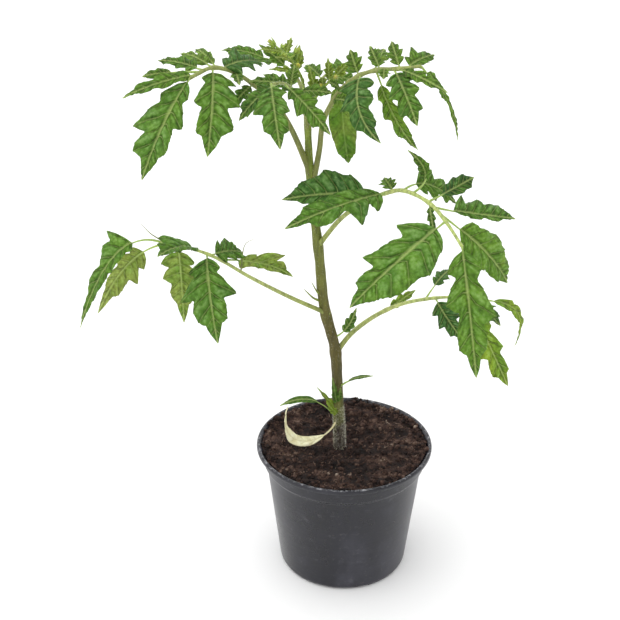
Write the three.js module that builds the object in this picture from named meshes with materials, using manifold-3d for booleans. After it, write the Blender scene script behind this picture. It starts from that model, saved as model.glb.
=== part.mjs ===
// A young tomato plant in a round plastic nursery pot, in millimetres, +Z up.
// The origin is the middle of the pot's underside, where it stands. The plant's front faces -Y.
// Every leaf is a stalk with lobed leaflets along it. A leaflet is placed by the point of the
// stalk that carries it, the place of its tip and the way that its upper side faces.

import * as THREE from "three";
import { mergeVertices } from "three/addons/utils/BufferGeometryUtils.js";
import Module from "manifold-3d";

const wasm = await Module();
wasm.setup();

// ---- driving dimensions -------------------------------------------------------------------

const seat = 0.3; // gap left between two pieces that meet

const pot = {
  height: 100,
  baseRadius: 48,
  baseRound: 3,
  floor: 4,
  wall: 1.6,
  shoulderZ: 84, // where the tapered wall steps out into the collar
  shoulderRadius: 57.6,
  collarRadius: 60,
  lipRadius: 65,
  lipHeight: 3.6,
  segments: 40,
  notches: 4, // drainage arches at the edge of the base
  notchHalfAngle: 27,
  notchDepth: 2,
  notchInner: 31,
  holeRadius: 4,
  holeCircle: 37,
};

const soil = { edgeZ: 98.4, middleZ: 94.4, crumb: 0.6 };

const stem = {
  // the stem leans to the left as it climbs
  points: [[-3, 0, 74], [-3, 0, 92], [-5, 0, 135], [-7.2, 0, 176], [-10.6, 0, 191], [-14, 0, 204],
    [-16.4, 0, 219], [-18.6, 0, 245], [-20.6, 0, 264], [-25, 0, 303], [-27, 0, 344], [-28, 0, 359]],
  baseRadius: 4,
  topRadius: 1.9,
  taper: 2.5,
  steps: 26,
  sides: 12,
};

const blade = {
  edge: 0.5, // thickness at the margin
  midrib: 1.2, // thickness at the midrib
  petiole: 0.8, // radius of a leaflet's own little stalk
  slantBase: 0.25, // how far the side veins sweep forward at the foot and towards the tip
  slantRise: 0.6,
  fold: 14, // degrees that each half rises from the midrib
  curl: 1 / 150, // how fast the margins bend back down
};

// A leaflet with three lobes on each side, the middle one the widest.
const even = (width) => [[0.12, 0.42 * width], [0.37, 0.5 * width], [0.66, 0.3 * width]];
// A leaflet with a smooth margin.
const smooth = (width) => [[0.2, 0.44 * width], [0.45, 0.5 * width], [0.7, 0.38 * width]];
// A smooth leaflet with a round end.
const blunt = (width) => [[0.2, 0.4 * width], [0.55, 0.5 * width], [0.9, 0.32 * width]];

// Lobes are given as [place along the blade, half width there]. `from` is the place along the
// stalk, `faces` the azimuth and elevation of the upper side, `bare` the stalked part of the
// leaflet's length, `arch` how far it bows up, and `over` a point that it bends over instead.
// `notch` is how deep the margin is cut after each lobe, on both sides or on left and right.
const leaves = {
  lower_left: {
    stalk: [[-12, -1, 205], [-39, -8, 221], [-65, -18, 240], [-87, -27, 258], [-103, -33, 267],
      [-121, -38, 273]],
    radius: [1.6, 0.8],
    leaflets: {
      front: { from: 0.76, tip: [-83, -62, 212], faces: [-97, 12], bare: 0.05,
        left: [[0.1, 13], [0.3, 22], [0.62, 11]], right: [[0.1, 9], [0.33, 18], [0.62, 10]] },
      inner_back: { from: 0.68, tip: [-38, 15, 226], faces: [80, 5], bare: 0.22, over: [-56, 9, 243],
        notch: [0.6, 0.3],
        left: [[0.1, 8], [0.42, 14], [0.72, 4]], right: [[0.08, 9], [0.34, 7], [0.62, 5]] },
      inner_top: { from: 0.74, tip: [-71, -5, 252], faces: [-80, 50], bare: 0.12, arch: 0.2,
        left: [[0.08, 9], [0.35, 11], [0.65, 7]], right: [[0.1, 9], [0.35, 12], [0.65, 8]] },
      outer_top: { from: 0.83, tip: [-117, -72, 277], faces: [-95, 60], bare: 0.04, arch: 0.16,
        left: [[0.1, 19], [0.36, 15], [0.66, 8]], right: [[0.12, 8], [0.38, 9], [0.66, 6]] },
      outer_back: { from: 0.91, tip: [-112, -16, 204], faces: [95, 5], bare: 0.1,
        left: [[0.12, 10], [0.36, 11], [0.62, 8]], right: [[0.12, 13], [0.36, 13], [0.62, 8]] },
      end_back: { from: 0.96, tip: [-170, -22, 213], faces: [50, 10], bare: 0.3,
        over: [-146, -30, 265],
        left: [[0.1, 10], [0.3, 14], [0.6, 8]], right: [[0.1, 8], [0.3, 9], [0.6, 6]] },
      end: { from: 1, tip: [-175, -52, 217], faces: [-125, 25], bare: 0.3,
        over: [-150, -50, 289],
        left: [[0.06, 20], [0.38, 9], [0.66, 7]], right: [[0.05, 6], [0.36, 8], [0.66, 6]] },
    },
  },
  lower_right: {
    stalk: [[-8, 0, 172], [4, 3, 188], [21, 14, 197], [39, 25, 201], [61, 38, 200], [84, 50, 196],
      [106, 60, 189]],
    radius: [1.9, 0.8],
    leaflets: {
      back_top: { from: 0.61, tip: [80, 86, 202], faces: [-30, 75], bare: 0.3, arch: 0.2,
        left: even(12), right: even(12) },
      front_inner: { from: 0.67, tip: [86, 24, 173], faces: [-110, 15], bare: 0.1,
        left: even(20), right: even(20) },
      front_outer: { from: 0.86, tip: [123, 34, 130], faces: [-80, 10], bare: 0.14,
        left: [[0.2, 10], [0.45, 11], [0.75, 8]], right: [[0.2, 8], [0.45, 9], [0.75, 6]] },
      back_outer: { from: 0.83, tip: [121, 82, 157], faces: [80, 20], bare: 0.3,
        left: even(20), right: even(20) },
      end: { from: 1, tip: [132, 74, 143], faces: [-50, 45], bare: 0.08, over: [144, 72, 181],
        left: smooth(13), right: smooth(13) },
    },
    buds: {
      inner: { from: 0.37, tip: [51, 48, 202], faces: [-60, 40], left: even(9), right: even(9) },
    },
  },
  middle_right: {
    stalk: [[-20, 0, 256], [-3, -14, 283], [13, -27, 299], [24, -37, 308], [34, -46, 313],
      [50, -64, 311], [59, -76, 304], [68, -90, 294]],
    radius: [1.7, 0.9],
    leaflets: {
      inner_low: { from: 0.51, tip: [-37, -88, 303], faces: [-100, 45], bare: 0.06, arch: 0.1,
        notch: [0.25, 0.7],
        left: [[0.12, 8], [0.4, 10], [0.7, 8]], right: [[0.1, 12], [0.3, 19], [0.7, 8]] },
      inner_top: { from: 0.46, tip: [-42, -30, 300], faces: [-95, 40], bare: 0.12, arch: 0.22,
        notch: [0.1, 0.3],
        left: [[0.1, 14], [0.35, 16], [0.62, 10]], right: [[0.15, 6], [0.4, 8], [0.7, 5]] },
      upright: { from: 0.66, tip: [37, -30, 334], faces: [-120, 0], bare: 0.36, notch: 0.2,
        over: [58, -40, 321], left: even(10), right: even(10) },
      back: { from: 0.61, tip: [71, -14, 293], faces: [-85, 45], bare: 0.28, over: [48, -30, 320],
        left: [[0.1, 9], [0.35, 10], [0.65, 7]], right: [[0.1, 9], [0.35, 12], [0.65, 8]] },
      back_top: { from: 0.75, tip: [78, -40, 320], faces: [-110, 20], bare: 0.34, arch: -0.06,
        notch: 0.15, left: [[0.15, 4], [0.4, 6], [0.7, 5]], right: [[0.15, 5], [0.4, 7], [0.7, 5]] },
      outer_top: { from: 0.79, tip: [106, -40, 293], faces: [-95, 55], bare: 0.24, arch: -0.03,
        left: [[0.1, 4], [0.35, 5], [0.65, 4]], right: [[0.1, 12], [0.35, 12], [0.65, 11]] },
      outer_low: { from: 0.83, tip: [103, -48, 252], faces: [-60, 25], bare: 0.2, arch: 0.2,
        notch: 0.2,
        left: [[0.08, 11], [0.35, 12], [0.7, 8]], right: [[0.05, 9], [0.35, 15], [0.7, 9]] },
      front: { from: 0.87, tip: [2, -118, 266], faces: [-105, 42], bare: 0.1, arch: 0.1,
        notch: [0.55, 0.06],
        left: [[0.12, 19], [0.5, 17], [0.75, 9]], right: [[0.07, 14], [0.26, 21], [0.6, 15]] },
      end: { from: 1, tip: [81, -98, 210], faces: [-88, 5], bare: 0.03, arch: 0.08,
        notch: [0.5, 0.45],
        left: [[0.1, 11], [0.32, 14], [0.68, 9]], right: [[0.1, 10], [0.42, 16], [0.72, 8]] },
    },
    buds: {
      inner: { from: 0.55, tip: [23, -26, 314], faces: [-90, 50], left: even(12), right: even(12) },
      outer: { from: 0.76, tip: [53, -74, 294], faces: [-100, 0], left: even(6), right: even(6) },
    },
  },
  upper_left: {
    stalk: [[-25, 0, 308], [-38, -8, 342], [-47, -16, 359], [-59, -28, 374], [-70, -38, 384],
      [-82, -48, 389], [-94, -58, 385]],
    radius: [2.1, 0.9],
    leaflets: {
      front: { from: 0.87, tip: [-83, -76, 343], faces: [-70, 18], bare: 0.06, arch: 0.14,
        left: [[0.06, 7], [0.3, 11], [0.62, 9]], right: [[0.04, 15], [0.26, 17], [0.52, 14]] },
      end: { from: 1, tip: [-121, -84, 331], faces: [-112, 28], bare: 0.04,
        left: [[0.15, 11], [0.42, 20], [0.68, 11]], right: [[0.12, 8], [0.34, 12], [0.58, 11]] },
      outer: { from: 0.96, tip: [-132, -70, 376], faces: [-95, 50], bare: 0.08, notch: 0.2,
        left: [[0.1, 5], [0.35, 6], [0.7, 4]], right: [[0.1, 4], [0.4, 5], [0.7, 3]] },
      outer_back: { from: 0.92, tip: [-115, -40, 391], faces: [-95, 60], bare: 0.14,
        left: [[0.1, 6], [0.35, 6], [0.7, 4]], right: [[0.1, 6], [0.35, 5], [0.7, 4]] },
      back: { from: 0.87, tip: [-105, -16, 390], faces: [-90, 50], bare: 0.14,
        left: [[0.1, 5], [0.35, 5], [0.65, 3]], right: [[0.1, 6], [0.3, 8], [0.65, 4]] },
      inner_back: { from: 0.82, tip: [-55, -4, 381], faces: [-60, 60], bare: 0.05, arch: 0.16,
        left: [[0.08, 10], [0.35, 10], [0.65, 6]], right: [[0.1, 8], [0.35, 12], [0.65, 7]] },
    },
    buds: {
      outer_middle: { from: 0.94, tip: [-122, -57, 385.5], faces: [-95, 50], bare: 0.5, notch: 0.2,
        left: [[0.1, 3], [0.35, 4], [0.7, 3]], right: [[0.1, 3], [0.35, 4], [0.7, 3]] },
      back_inner: { from: 0.85, tip: [-96, -12, 392], faces: [-90, 50], notch: 0.2,
        left: [[0.1, 3], [0.35, 4], [0.7, 3]], right: [[0.1, 3], [0.35, 4], [0.7, 3]] },
      low_inner: { from: 0.62, tip: [-72, -42, 363], faces: [-100, 30],
        left: even(10), right: even(10) },
      front_low: { from: 0.53, tip: [-57, -40, 364], faces: [-100, 35], left: even(9), right: even(9) },
      front_high: { from: 0.74, tip: [-65, -55, 380.5], faces: [-80, 50], left: even(9), right: even(9) },
    },
  },
  upper_right: {
    stalk: [[-24, 0, 297], [-19, -3, 325], [-17, -6, 343], [-12, -12, 357], [-5, -18, 369],
      [5, -25, 379], [16, -30, 384], [30, -38, 387], [42, -44, 390]],
    radius: [2.1, 0.9],
    leaflets: {
      front: { from: 0.7, tip: [19, -62, 348], faces: [-95, 22], bare: 0.06, over: [-1, -62, 367],
        left: [[0.08, 11], [0.32, 11], [0.62, 7]], right: [[0.08, 11], [0.32, 11], [0.62, 7]] },
      inner_back: { from: 0.63, tip: [0, 4, 314], faces: [95, 0], bare: 0.15, notch: 0,
        over: [-9, 12, 362], left: blunt(19), right: blunt(19) },
      back: { from: 0.77, tip: [22, 10, 388], faces: [-80, 60], bare: 0.12,
        left: even(12), right: even(12) },
      hanging_back: { from: 0.78, tip: [44, -16, 330], faces: [-120, 5], bare: 0.15, arch: 0.18,
        left: [[0.12, 6], [0.35, 7], [0.65, 5]], right: [[0.12, 6], [0.35, 8], [0.65, 5]] },
      hanging: { from: 0.87, tip: [40, -66, 360], faces: [-85, 22], bare: 0.1, arch: 0.14,
        left: [[0.1, 9], [0.36, 11], [0.65, 8]], right: [[0.12, 9], [0.36, 9], [0.65, 7]] },
      outer_back: { from: 0.93, tip: [52, -14, 390], faces: [-90, 50], bare: 0.1,
        left: [[0.1, 6], [0.35, 6], [0.65, 4]], right: [[0.1, 8], [0.3, 10], [0.65, 4]] },
      end: { from: 1, tip: [66, -48, 346], faces: [-20, 35], bare: 0.1, arch: 0.2,
        left: [[0.02, 7], [0.35, 4], [0.7, 3]], right: [[0.02, 6], [0.35, 4], [0.7, 3]] },
    },
    buds: {
      inner: { from: 0.69, tip: [0, -15, 393], faces: [-110, 40], left: even(12), right: even(12) },
      outer: { from: 0.9, tip: [25, -22, 400], faces: [-100, 25], left: even(11), right: even(11) },
      low_inner: { from: 0.56, tip: [-14, -30, 377], faces: [-90, 40], left: even(8), right: even(8) },
      low_middle: { from: 0.5, tip: [2, -36, 365], faces: [-90, 30], left: even(9), right: even(9) },
      high_middle: { from: 0.8, tip: [12, -18, 396], faces: [-90, 25], left: even(9), right: even(9) },
      low_outer: { from: 0.82, tip: [20, -44, 382], faces: [-90, 40], left: even(9), right: even(9) },
      high_end: { from: 0.89, tip: [57, -62, 379], faces: [-90, 40], left: even(9), right: even(9) },
    },
  },
  top_front: {
    stalk: [[-27, 0, 338], [-29, -12, 358], [-35, -28, 371], [-40, -44, 379], [-46, -58, 382]],
    radius: [1.5, 0.7],
    leaflets: {
      end: { from: 1, tip: [-39, -92, 353], faces: [-90, 22], bare: 0.06, arch: 0.14,
        left: [[0.12, 10], [0.3, 13], [0.62, 8]], right: [[0.12, 9], [0.36, 9], [0.65, 7]] },
      left: { from: 0.9, tip: [-66, -52, 358], faces: [-120, 35], bare: 0.14, arch: 0.2,
        left: even(16), right: even(16) },
      right: { from: 0.78, tip: [-11, -62, 353], faces: [-75, 35], bare: 0.12,
        left: [[0.1, 6], [0.35, 9], [0.65, 6]], right: [[0.1, 6], [0.35, 8], [0.65, 5]] },
      right_inner: { from: 0.5, tip: [-10, -28, 369], faces: [-85, 60], bare: 0.18,
        left: even(13), right: even(13) },
    },
    buds: {
      left_inner: { from: 0.5, tip: [-54, -14, 377], faces: [-100, 60],
        left: even(12), right: even(12) },
      upright: { from: 0.62, tip: [-34, -24, 385], faces: [-90, 20], left: even(10), right: even(10) },
      left_middle: { from: 0.74, tip: [-61, -36, 378], faces: [-90, 45],
        left: even(10), right: even(10) },
    },
  },
  top_back: {
    stalk: [[-28, 0, 348], [-32, 12, 364], [-40, 28, 370], [-49, 44, 371], [-57, 54, 371]],
    radius: [1.4, 0.7],
    leaflets: {
      end: { from: 1, tip: [-89, 66, 374], faces: [-95, 60], bare: 0.06, arch: 0.16,
        left: [[0.1, 5], [0.35, 7], [0.65, 5]], right: [[0.1, 6], [0.35, 8], [0.65, 5]] },
      left: { from: 0.8, tip: [-68, 20, 375], faces: [-120, 60], bare: 0.12, arch: 0.1,
        left: even(15), right: even(15) },
      right: { from: 0.8, tip: [-40, 82, 368], faces: [-80, 60], bare: 0.12, arch: 0.14,
        left: even(18), right: even(18) },
    },
    buds: {
      upright: { from: 0.45, tip: [-33, 29, 386], faces: [-90, 30], left: even(10), right: even(10) },
      left_high: { from: 0.6, tip: [-60, 30, 386], faces: [-90, 40], left: even(10), right: even(10) },
    },
  },
  top_right_back: {
    stalk: [[-27, 0, 340], [-22, 12, 359], [-18, 26, 365], [-13, 40, 366]],
    radius: [1.4, 0.7],
    leaflets: {
      end: { from: 1, tip: [4, 74, 360], faces: [-60, 65], bare: 0.08,
        left: even(18), right: even(18) },
      right: { from: 0.7, tip: [6, 24, 364], faces: [-70, 60], bare: 0.14,
        left: even(15), right: even(15) },
    },
    buds: {
      left: { from: 0.7, tip: [-30, 50, 368], faces: [-110, 65], left: even(13), right: even(13) },
    },
  },
};

// Small leaves and shoots that grow straight out of the main stem.
const stemLeaves = {
  seed_leaf_right: { root: [-4, -1, 146], tip: [20, -10, 161], faces: [-60, 70], bare: 0.4,
    over: [2, -8, 159], left: smooth(4), right: smooth(4) },
  seed_leaf_left: { root: [-5, 0, 118], tip: [-46, -20, 141], faces: [-85, 62], bare: 0.42,
    over: [-20, -12, 152], left: smooth(6), right: smooth(6) },
  withered_seed_leaf: { root: [-5, 0, 120], tip: [-40, -25, 144], faces: [-70, 40], bare: 0.25,
    overTwice: [[-12, -16, 103], [-52, -26, 105]], left: blunt(9), right: blunt(9) },
  side_shoot: { root: [-8, 0, 186], tip: [7, -5, 212], faces: [-100, 30], bare: 0.3,
    over: [4, -6, 196], left: even(9), right: even(9) },
};

// Nubs of new growth on the main stem: root, tip, radius at the root.
const nubs = [
  { root: [-16, 0, 214], tip: [-29, -6, 226], radius: 1.1 },
  { root: [-16, 0, 218], tip: [-24, -5, 231], radius: 1 },
];

// Small leaves that are one piece with the main stem, where they crowd round it.
const shoots = [
  { root: [-5, -1, 130], tip: [-9, -8, 158], faces: [-90, 10], left: even(6), right: even(6) },
  { root: [-5, -1, 134], tip: [-3, -10, 151], faces: [-80, 20], left: even(5), right: even(5) },
  { root: [-5, 0, 126], tip: [-20, -5, 148], faces: [-95, 40], left: even(5), right: even(5) },
  { root: [-5, -2, 124], tip: [-13, -15, 141], faces: [-90, 30], left: even(6), right: even(6) },
];

// Trusses of flower buds at the top: the stalk's points, the middle of each bud and the young
// leaves between them.
const trusses = {
  flower_buds_left: {
    stalk: [[-28, 1, 354], [-31, 6, 370], [-38, 9, 381], [-50, 11, 391]],
    buds: [[-50, 11, 391], [-43, 14, 388], [-42, 4, 384], [-34, 12, 386], [-33, 2, 379]],
    young: {
      top: { from: 0.8, tip: [-57, 6, 388], faces: [-90, 50], left: even(7), right: even(7) },
      front: { from: 0.6, tip: [-47, -6, 386], faces: [-90, 50], left: even(7), right: even(7) },
      right: { from: 0.5, tip: [-30, 2, 388], faces: [-80, 30], left: even(6), right: even(6) },
      back: { from: 0.75, tip: [-38, 20, 393], faces: [-90, 40], left: even(6), right: even(6) },
      left: { from: 0.4, tip: [-51, -9, 379], faces: [-90, 60], left: even(8), right: even(8) },
      low: { from: 0.2, tip: [-33, -9, 377], faces: [-90, 50], left: even(7), right: even(7) },
    },
  },
  flower_buds_right: {
    stalk: [[-26, -3, 352], [-20, -2, 362], [-13, 1, 369], [-5, 3, 374]],
    buds: [[-5, 3, 374], [-9, -3, 373], [-13, 5, 374], [-18, -5, 368]],
    young: {
      left: { from: 0.3, tip: [-26, -4, 380], faces: [-90, 50], left: even(8), right: even(8) },
      top: { from: 0.7, tip: [-14, 2, 384], faces: [-90, 30], left: even(7), right: even(7) },
      right: { from: 0.8, tip: [0, 4, 381], faces: [-80, 50], left: even(7), right: even(7) },
      low: { from: 0.5, tip: [-17, -11, 375], faces: [-90, 50], left: even(7), right: even(7) },
    },
  },
};
const bud = { radius: 1.6, length: 6, sides: 6, stalkRadius: 1, twigRadius: 0.6 };

// ---- colours ------------------------------------------------------------------------------

const finish = {
  pot: { color: 0x3c3e45, roughness: 0.45 },
  soil: { color: 0x33251f, roughness: 1 },
  stem: { color: 0x6b6b3a, roughness: 0.7 },
  stalk: { color: 0x8fa04e, roughness: 0.65 },
  leaf: { color: 0x467a33, roughness: 0.6 },
  withered: { color: 0xd8d2b4, roughness: 0.85 },
  bud: { color: 0xa7ad3c, roughness: 0.65 },
};

// ---- solids -------------------------------------------------------------------------------

const vec = ([x, y, z]) => new THREE.Vector3(x, y, z);
const through = (points) => new THREE.CatmullRomCurve3(points.map(vec));

function signedVolume(geometry) {
  const p = geometry.attributes.position;
  const corners = [new THREE.Vector3(), new THREE.Vector3(), new THREE.Vector3()];
  let six = 0;
  for (let i = 0; i < geometry.index.count; i += 3) {
    corners.forEach((corner, k) => corner.fromBufferAttribute(p, geometry.index.getX(i + k)));
    six += corners[0].dot(corners[1].clone().cross(corners[2]));
  }
  return six / 6;
}

// A closed skin over rings of points, with a fan over the first and the last ring.
function loft(rings) {
  const sides = rings[0].length;
  const points = rings.flat();
  const index = [];
  for (let i = 0; i + 1 < rings.length; i++)
    for (let j = 0; j < sides; j++) {
      const [a, b] = [i * sides + j, i * sides + ((j + 1) % sides)];
      index.push(a, b, b + sides, a, b + sides, a + sides);
    }
  for (const [first, turn] of [[0, 1], [(rings.length - 1) * sides, -1]]) {
    const middle = points.length;
    const ring = points.slice(first, first + sides);
    points.push(ring.reduce((sum, p) => sum.add(p), new THREE.Vector3()).divideScalar(sides));
    for (let j = 0; j < sides; j++) {
      const [a, b] = [first + j, first + ((j + 1) % sides)];
      index.push(...(turn > 0 ? [b, a, middle] : [a, b, middle]));
    }
  }
  const geometry = new THREE.BufferGeometry().setFromPoints(points);
  geometry.setIndex(index);
  if (signedVolume(geometry) < 0) geometry.setIndex(index.reverse());
  return geometry;
}

function toSolid(geometry) {
  const bare = geometry.clone();
  bare.deleteAttribute("normal");
  bare.deleteAttribute("uv");
  const merged = mergeVertices(bare, 1e-4);
  return new wasm.Manifold(new wasm.Mesh({
    numProp: 3,
    vertProperties: new Float32Array(merged.attributes.position.array),
    triVerts: new Uint32Array(merged.index.array),
  }));
}

function toGeometry(solid) {
  const mesh = solid.getMesh();
  const geometry = new THREE.BufferGeometry();
  geometry.setAttribute("position", new THREE.BufferAttribute(mesh.vertProperties, 3));
  geometry.setIndex(new THREE.BufferAttribute(mesh.triVerts, 1));
  return geometry;
}

const joined = (geometries) =>
  toGeometry(geometries.map(toSolid).reduce((all, next) => all.add(next)));

function named(name, geometry, look) {
  geometry.computeVertexNormals();
  const material = new THREE.MeshStandardMaterial({ ...finish[look], metalness: 0 });
  const mesh = new THREE.Mesh(geometry, material);
  mesh.name = name;
  return mesh;
}

// ---- stem and stalks ----------------------------------------------------------------------

const stemRadius = (f) => stem.baseRadius + (stem.topRadius - stem.baseRadius) * f ** stem.taper;

// A branch: its middle line, its radius at any place along it, and points for measuring from it.
function branch(points, radiusAt, samples = 160) {
  const curve = through(points);
  const line = Array.from({ length: samples + 1 }, (_, i) => curve.getPointAt(i / samples));
  return { curve, radiusAt, line };
}

// How far a point is from the bark of a branch.
function clearOf(carrier, point) {
  let least = Infinity;
  carrier.line.forEach((p, i) => {
    const gap = p.distanceTo(point) - carrier.radiusAt(i / (carrier.line.length - 1));
    least = Math.min(least, gap);
  });
  return least;
}

// The first place along a growing piece where its whole section is clear of its carrier.
function firstClear(sectionAt, carrier, step = 0.002) {
  let f = step;
  while (f < 0.6 && sectionAt(f).some((p) => clearOf(carrier, p) < seat)) f += step;
  return f;
}

// The first place along a growing piece where its whole section lies past its carrier's end.
function firstPast(sectionAt, carrier, step = 0.002) {
  const end = carrier.curve.getPointAt(1);
  const ahead = carrier.curve.getTangentAt(1);
  let f = step;
  while (f < 0.6 && sectionAt(f).some((p) => p.clone().sub(end).dot(ahead) < seat)) f += step;
  return f;
}

// Rings across a branch, from the place `start` to its end.
function branchRings(one, start, steps, sides) {
  const frames = one.curve.computeFrenetFrames(100, false);
  const ringAt = (f) => {
    const centre = one.curve.getPointAt(f);
    const across = frames.normals[Math.round(f * 100)];
    const up = frames.binormals[Math.round(f * 100)];
    return Array.from({ length: sides }, (_, k) => {
      const turn = (2 * Math.PI * k) / sides;
      return centre.clone()
        .addScaledVector(across, one.radiusAt(f) * Math.cos(turn))
        .addScaledVector(up, one.radiusAt(f) * Math.sin(turn));
    });
  };
  const from = typeof start === "number" ? start : firstClear(ringAt, start);
  return Array.from({ length: steps + 1 }, (_, i) => ringAt(from + ((1 - from) * i) / steps));
}

// ---- leaflets -----------------------------------------------------------------------------

// Half the width of one side along the blade: a swell at the foot, pointed lobes with a notch
// after each, and a drawn-out tip.
function margin(lobes, notch) {
  const [firstAt, firstWide] = lobes[0];
  const points = [[0, 0.8], [0.35 * firstAt, 0.62 * firstWide]];
  lobes.forEach(([at, wide], i) => {
    const last = i + 1 === lobes.length;
    const [nextAt, nextWide] = last ? [1, 0] : lobes[i + 1];
    const between = (share, cut) => [at + (nextAt - at) * share,
      (wide + (nextWide - wide) * share) * (1 - cut)];
    points.push([at, wide], between(0.28, last ? 0.6 * notch : notch));
    points.push(last ? between(0.64, 0) : between(0.68, 0.3 * notch));
  });
  points.push([1, 0.25]);
  return points;
}

// A leaflet from its root to its tip. `carrier` is the branch that it grows from, and `atEnd`
// says that it carries straight on from the branch's end.
function leaflet(root, spec, carrier, atEnd = false) {
  const { faces, left, right, arch = 0.12, bare = 0.12, notch = 0.42 } = spec;
  const [leftNotch, rightNotch = leftNotch] = [notch].flat();
  const fold = THREE.MathUtils.degToRad(blade.fold);
  const tip = vec(spec.tip);
  const [azimuth, elevation] = faces.map(THREE.MathUtils.degToRad);
  const facing = new THREE.Vector3(Math.cos(azimuth) * Math.cos(elevation),
    Math.sin(azimuth) * Math.cos(elevation), Math.sin(elevation));
  const chord = tip.clone().sub(root);
  const lateral = chord.clone().cross(facing).normalize();
  const upward = lateral.clone().cross(chord).normalize();
  const over = spec.over ? vec(spec.over)
    : root.clone().add(tip).multiplyScalar(0.5).addScaledVector(upward, arch * chord.length());
  const rib = spec.overTwice ? new THREE.CubicBezierCurve3(root, ...spec.overTwice.map(vec), tip)
    : new THREE.QuadraticBezierCurve3(root, over, tip);

  // a point `wide` to one side (+1 left, -1 right) of the rib at t
  const place = (t, wide, side, slant, thickness) => {
    const tangent = rib.getTangent(t);
    const normal = lateral.clone().cross(tangent);
    const rise = wide * Math.sin(fold) - blade.curl * wide * wide;
    return rib.getPoint(t)
      .addScaledVector(lateral, side * wide * Math.cos(fold))
      .addScaledVector(tangent, wide * slant)
      .addScaledVector(normal, rise + thickness / 2);
  };
  const sectionOf = ([leftT, leftWide, leftSlant], [rightT, rightWide, rightSlant], edge, mid) => {
    const middle = (leftT + rightT) / 2;
    return [
      place(leftT, leftWide, 1, leftSlant, edge), place(middle, 0, 0, 0, mid),
      place(rightT, rightWide, -1, rightSlant, edge), place(rightT, rightWide, -1, rightSlant, -edge),
      place(middle, 0, 0, 0, -mid), place(leftT, leftWide, 1, leftSlant, -edge),
    ];
  };
  const petioleAt = (t) =>
    sectionOf([t, blade.petiole, 0], [t, blade.petiole, 0], blade.petiole, 2 * blade.petiole);

  const start = atEnd ? firstPast(petioleAt, carrier) : firstClear(petioleAt, carrier);
  const bladeStart = Math.max(bare, start + 0.03);
  const rings = [petioleAt(start), petioleAt((start + bladeStart) / 2), petioleAt(bladeStart - 0.01)];
  const [leftSide, rightSide] = [margin(left, leftNotch), margin(right, rightNotch)];
  leftSide.forEach(([v, wide], i) => {
    const [rv, rightWide] = rightSide[i];
    const side = (at, w) => [bladeStart + (1 - bladeStart) * at, w,
      (blade.slantBase + blade.slantRise * at) * Math.min(1, 3 * (1 - at))];
    const mid = blade.midrib + (blade.edge - blade.midrib) * v;
    rings.push(sectionOf(side(v, wide), side(rv, rightWide), blade.edge, mid));
  });
  return loft(rings);
}

// ---- pot and soil -------------------------------------------------------------------------

function turned(profile) {
  const points = profile.map(([r, z]) => new THREE.Vector2(r, z));
  return new THREE.LatheGeometry(points, pot.segments).rotateX(Math.PI / 2);
}

const collarInner = (z) => pot.collarRadius - pot.wall + (z - pot.shoulderZ) / 10;

function potGeometry() {
  const { height, baseRadius, baseRound, floor, wall, shoulderZ, shoulderRadius } = pot;
  const { collarRadius, lipRadius, lipHeight } = pot;
  const under = height - lipHeight;
  const shell = turned([
    [0, 0], [baseRadius - baseRound, 0], [baseRadius - 0.3 * baseRound, 0.3 * baseRound],
    [baseRadius, baseRound], [shoulderRadius, shoulderZ], [collarRadius, shoulderZ + 2],
    [collarRadius + 1, under - 0.4], [lipRadius - 0.5, under], [lipRadius, under + 0.6],
    [lipRadius, height - 0.9], [lipRadius - 0.9, height], [lipRadius - 2, height],
    [lipRadius - 3.6, height - 1.4], [collarInner(under) + 0.5, under + 1], [collarInner(under), under - 1],
    [collarInner(shoulderZ + 2.5), shoulderZ + 2.5], [shoulderRadius - wall, shoulderZ],
    [baseRadius - wall, floor + 1.6], [baseRadius - wall - 1.5, floor], [0, floor],
  ]);
  let solid = toSolid(shell);
  const half = THREE.MathUtils.degToRad(pot.notchHalfAngle);
  for (let i = 0; i < pot.notches; i++) {
    const middle = -Math.PI / 2 + (2 * Math.PI * i) / pot.notches;
    const arch = new THREE.Shape();
    arch.absarc(0, 0, pot.notchInner, middle - 0.7 * half, middle + 0.7 * half, false);
    arch.absarc(0, 0, baseRadius + 3, middle + half, middle - half, true);
    const depth = pot.notchDepth + 1;
    const cut = new THREE.ExtrudeGeometry(arch, { depth, bevelEnabled: false, curveSegments: 8 });
    const hole = new THREE.CylinderGeometry(pot.holeRadius, pot.holeRadius, 2 * floor, 16);
    hole.rotateX(Math.PI / 2);
    hole.translate(pot.holeCircle * Math.cos(middle), pot.holeCircle * Math.sin(middle), floor);
    solid = solid.subtract(toSolid(cut.translate(0, 0, -1))).subtract(toSolid(hole));
  }
  return toGeometry(solid);
}

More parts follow.
